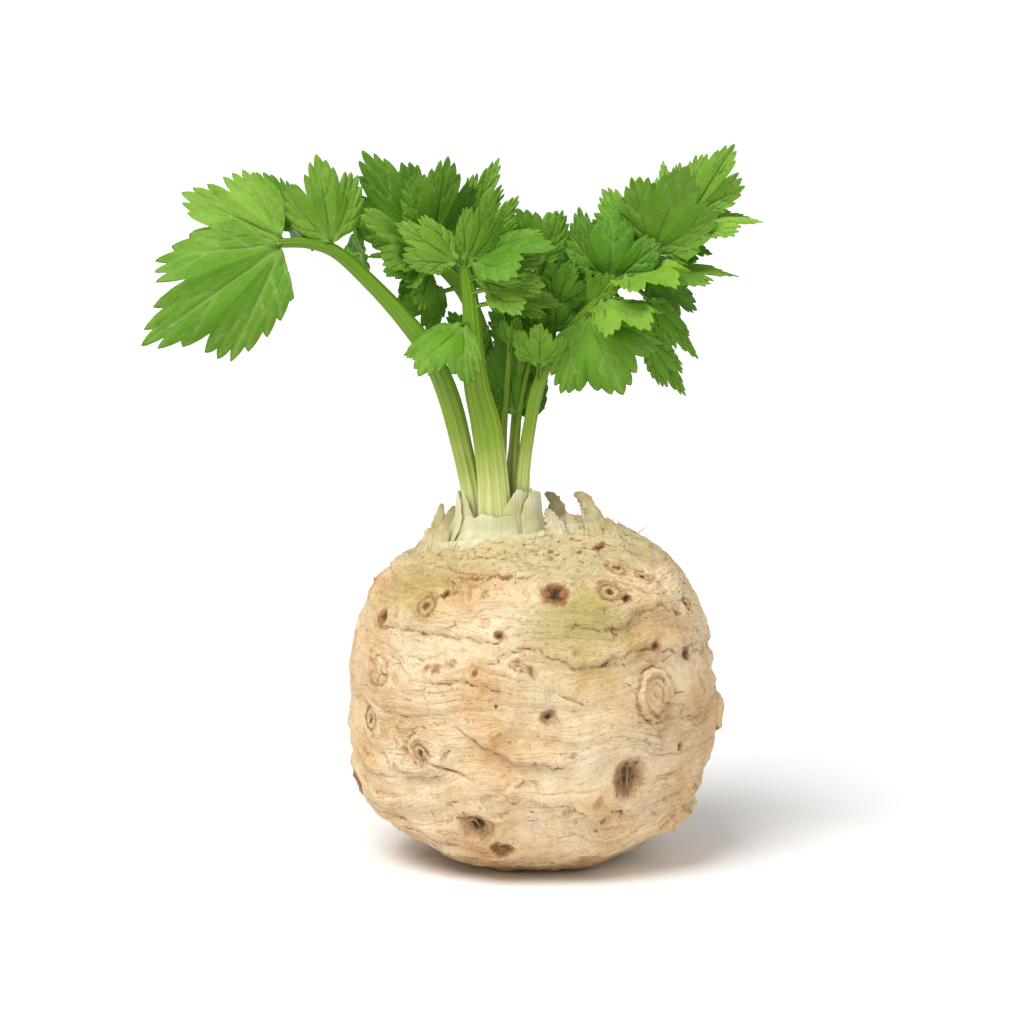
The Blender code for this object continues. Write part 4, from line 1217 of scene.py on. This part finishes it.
def strands(name, routes, thickness, material):
    """One piece made of tapering strands, each along its own route in millimetres."""
    bm = bmesh.new()
    for i in range(len(routes)):
        beside = Matrix.Translation((i * STRAND_SPACING, 0, 0))
        bmesh.ops.create_cone(
            bm, cap_ends=True, segments=STRAND_SIDES, radius1=1, radius2=1, depth=1, matrix=beside
        )
    upright = [edge for edge in bm.edges if abs(edge.verts[0].co.z - edge.verts[1].co.z) > 0.5]
    bmesh.ops.subdivide_edges(bm, edges=upright, cuts=STRAND_RINGS - 1, use_grid_fill=True)
    co = coordinates(bm)
    which = np.rint(co[:, 0] / STRAND_SPACING).astype(int)
    angle = np.arctan2(co[:, 1], co[:, 0] - which * STRAND_SPACING)
    share = co[:, 2] + 0.5
    points = np.zeros_like(co)
    for i, route in enumerate(routes):
        own = which == i
        thick = thickness[i]
        halves = ((thick, thick), (thick * 0.8, thick * 0.8), (thick * 0.3, thick * 0.3))
        forward = heading(route, share[own])
        wide = unit(np.cross((0.3, 0.9, 0.3), forward))
        deep = np.cross(forward, wide)
        half = halves_at(halves, share[own])
        out = wide * np.cos(angle[own])[:, None] + deep * np.sin(angle[own])[:, None]
        points[own] = along(route, share[own]) + out * half[:, :1]
    made = put(name, bm, points)
    mark(made, turn=angle, rise=share)
    made.data.materials.append(material)
    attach(made, "root")


def on_skin(azimuth, height, lift):
    """A point this far above the skin, at an azimuth and height."""
    direction = towards(azimuth, height)
    return root_skin(direction[None])[0] + direction * lift


picker = random.Random(5)
near_collar = np.nonzero((root_masks["crown"] > 0.5) & (root_points[:, 2] > 92))[0]
crown_routes = []
for _ in range(CROWN_FIBRES):
    start = root_points[picker.choice(near_collar)]
    outward = unit((start - SEAT_CENTRE) * (1, 1, 0))
    aside = np.array((-outward[1], outward[0], 0)) * picker.uniform(-1, 1)
    reach = picker.uniform(1.5, 5.0)
    lean = outward * picker.uniform(-0.5, 0.8) + aside + np.array((0, 0, picker.uniform(0.25, 1.0)))
    bend = aside * picker.uniform(-0.6, 0.6) * reach
    crown_routes.append((start - (0, 0, 0.4), start + lean * reach * 0.5, start + lean * reach + bend))
strands("crown_fibres", crown_routes, [picker.uniform(0.08, 0.2) for _ in crown_routes], dry_material)

# Each rootlet: azimuth, height and lift at its start, middle and end, and its thickness.
ROOTLETS = (
    ((49, 59.5, 0.4), (54, 59.2, 0.5), (60, 59.3, 0.2), 0.28),
    ((31.5, 39, -0.2), (32.5, 34, -0.6), (31.5, 28, 0.1), 0.6),
    ((36, 40, 0.1), (33.5, 36, -0.5), (34.5, 30, -0.3), 0.35),
    ((29, 36, 0.0), (30, 33, -0.5), (28.5, 28, 0.1), 0.4),
    ((-23, 21, -0.4), (-20, 22, 0.1), (-18, 18, -0.5), 0.6),
    ((-21, 18, -0.5), (-18, 19, 0.1), (-15, 17, -0.2), 0.35),
    ((-27, 22, 0.2), (-24, 21, -0.3), (-22, 19, -0.6), 0.25),
    ((150, 33, 0.2), (152, 30, 0.8), (154, 26, 0.3), 0.7),
    ((-118, 46, 0.2), (-115, 44, 0.8), (-112, 42, 0.3), 0.55),
    ((-164, 25, 0.3), (-158, 25, 1.0), (-152, 23, 0.5), 0.4),
    ((102, 67, 0.2), (105, 66, 0.7), (107, 63, 0.3), 0.45),
)
root_routes = [[on_skin(*spot) for spot in row[:3]] for row in ROOTLETS]
root_thickness = [row[3] for row in ROOTLETS]
for _ in range(ROOT_HAIRS):
    azimuth, height = picker.uniform(-180, 180), picker.uniform(6, 88)
    reach, rise = picker.uniform(-5, 5), picker.uniform(-1.5, 1.5)
    root_routes.append([
        on_skin(azimuth, height, -0.6),
        on_skin(azimuth + reach * 0.5, height + rise, picker.uniform(0.3, 1.3)),
        on_skin(azimuth + reach, height + rise * 1.5, picker.uniform(0.2, 2.2)),
    ])
    root_thickness.append(picker.uniform(0.08, 0.2))
dried_root = dry_scale("dried rootlet", ("#a57c4c", "#bd9460", "#d6b584"), "#6b4422", "#7a532c")
strands("rootlets", root_routes, root_thickness, dried_root)

# ---------------------------------------------------------------------------------------------
# The floor, the light and the camera. The root stands on a white table top in a soft, bright
# studio, lit from above and a little from the front left, with a faint shadow under it.

FLOOR_HALF = 14000  # so that its edges are out of sight
floor_mesh = bmesh.new()
bmesh.ops.create_grid(floor_mesh, x_segments=1, y_segments=1, size=FLOOR_HALF)
floor = put("floor", floor_mesh, coordinates(floor_mesh))
white_top, white_shader = new_material("white table top")
white_shader.inputs["Base Color"].default_value = linear("#faf9f8")
white_shader.inputs["Roughness"].default_value = 0.6
floor.data.materials.append(white_top)
floor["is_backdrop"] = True

scene = bpy.context.scene
scene.view_settings.view_transform = "Standard"
world = bpy.data.worlds.new("soft white room")
world.use_nodes = True
world.node_tree.nodes["Background"].inputs["Color"].default_value = linear("#ffffff")
world.node_tree.nodes["Background"].inputs["Strength"].default_value = 0.45
scene.world = world

# A broad, soft key light from high up on the left, in front, and a weak one from the right.
KEYS = (((-0.55, -0.7, 1.35), 3.0, 36), ((0.9, -0.4, 0.9), 0.4, 60))
for number, (place, strength, spread) in enumerate(KEYS):
    light = bpy.data.lights.new(f"soft_key_{number}", "SUN")
    light.energy = strength
    light.angle = math.radians(spread)
    lamp = bpy.data.objects.new(f"soft_key_{number}", light)
    lamp.rotation_euler = (-Vector(place)).to_track_quat("-Z", "Y").to_euler()
    scene.collection.objects.link(lamp)

CAMERA_DISTANCE = 1.4
CAMERA_ELEVATION = math.radians(9)
FRAMED_WIDTH = 0.3217  # what the picture spans at the root
SENSOR_WIDTH = 36
CAMERA_AIM = Vector((-0.005, 0, 0.11))
camera = bpy.data.objects.new("camera", bpy.data.cameras.new("camera"))
camera.data.sensor_width = SENSOR_WIDTH
camera.data.lens = SENSOR_WIDTH * CAMERA_DISTANCE / FRAMED_WIDTH
looking = Vector((0, math.cos(CAMERA_ELEVATION), -math.sin(CAMERA_ELEVATION)))
camera.location = CAMERA_AIM - looking * CAMERA_DISTANCE
camera.rotation_euler = looking.to_track_quat("-Z", "Y").to_euler()
scene.collection.objects.link(camera)
scene.camera = camera

low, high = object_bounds()
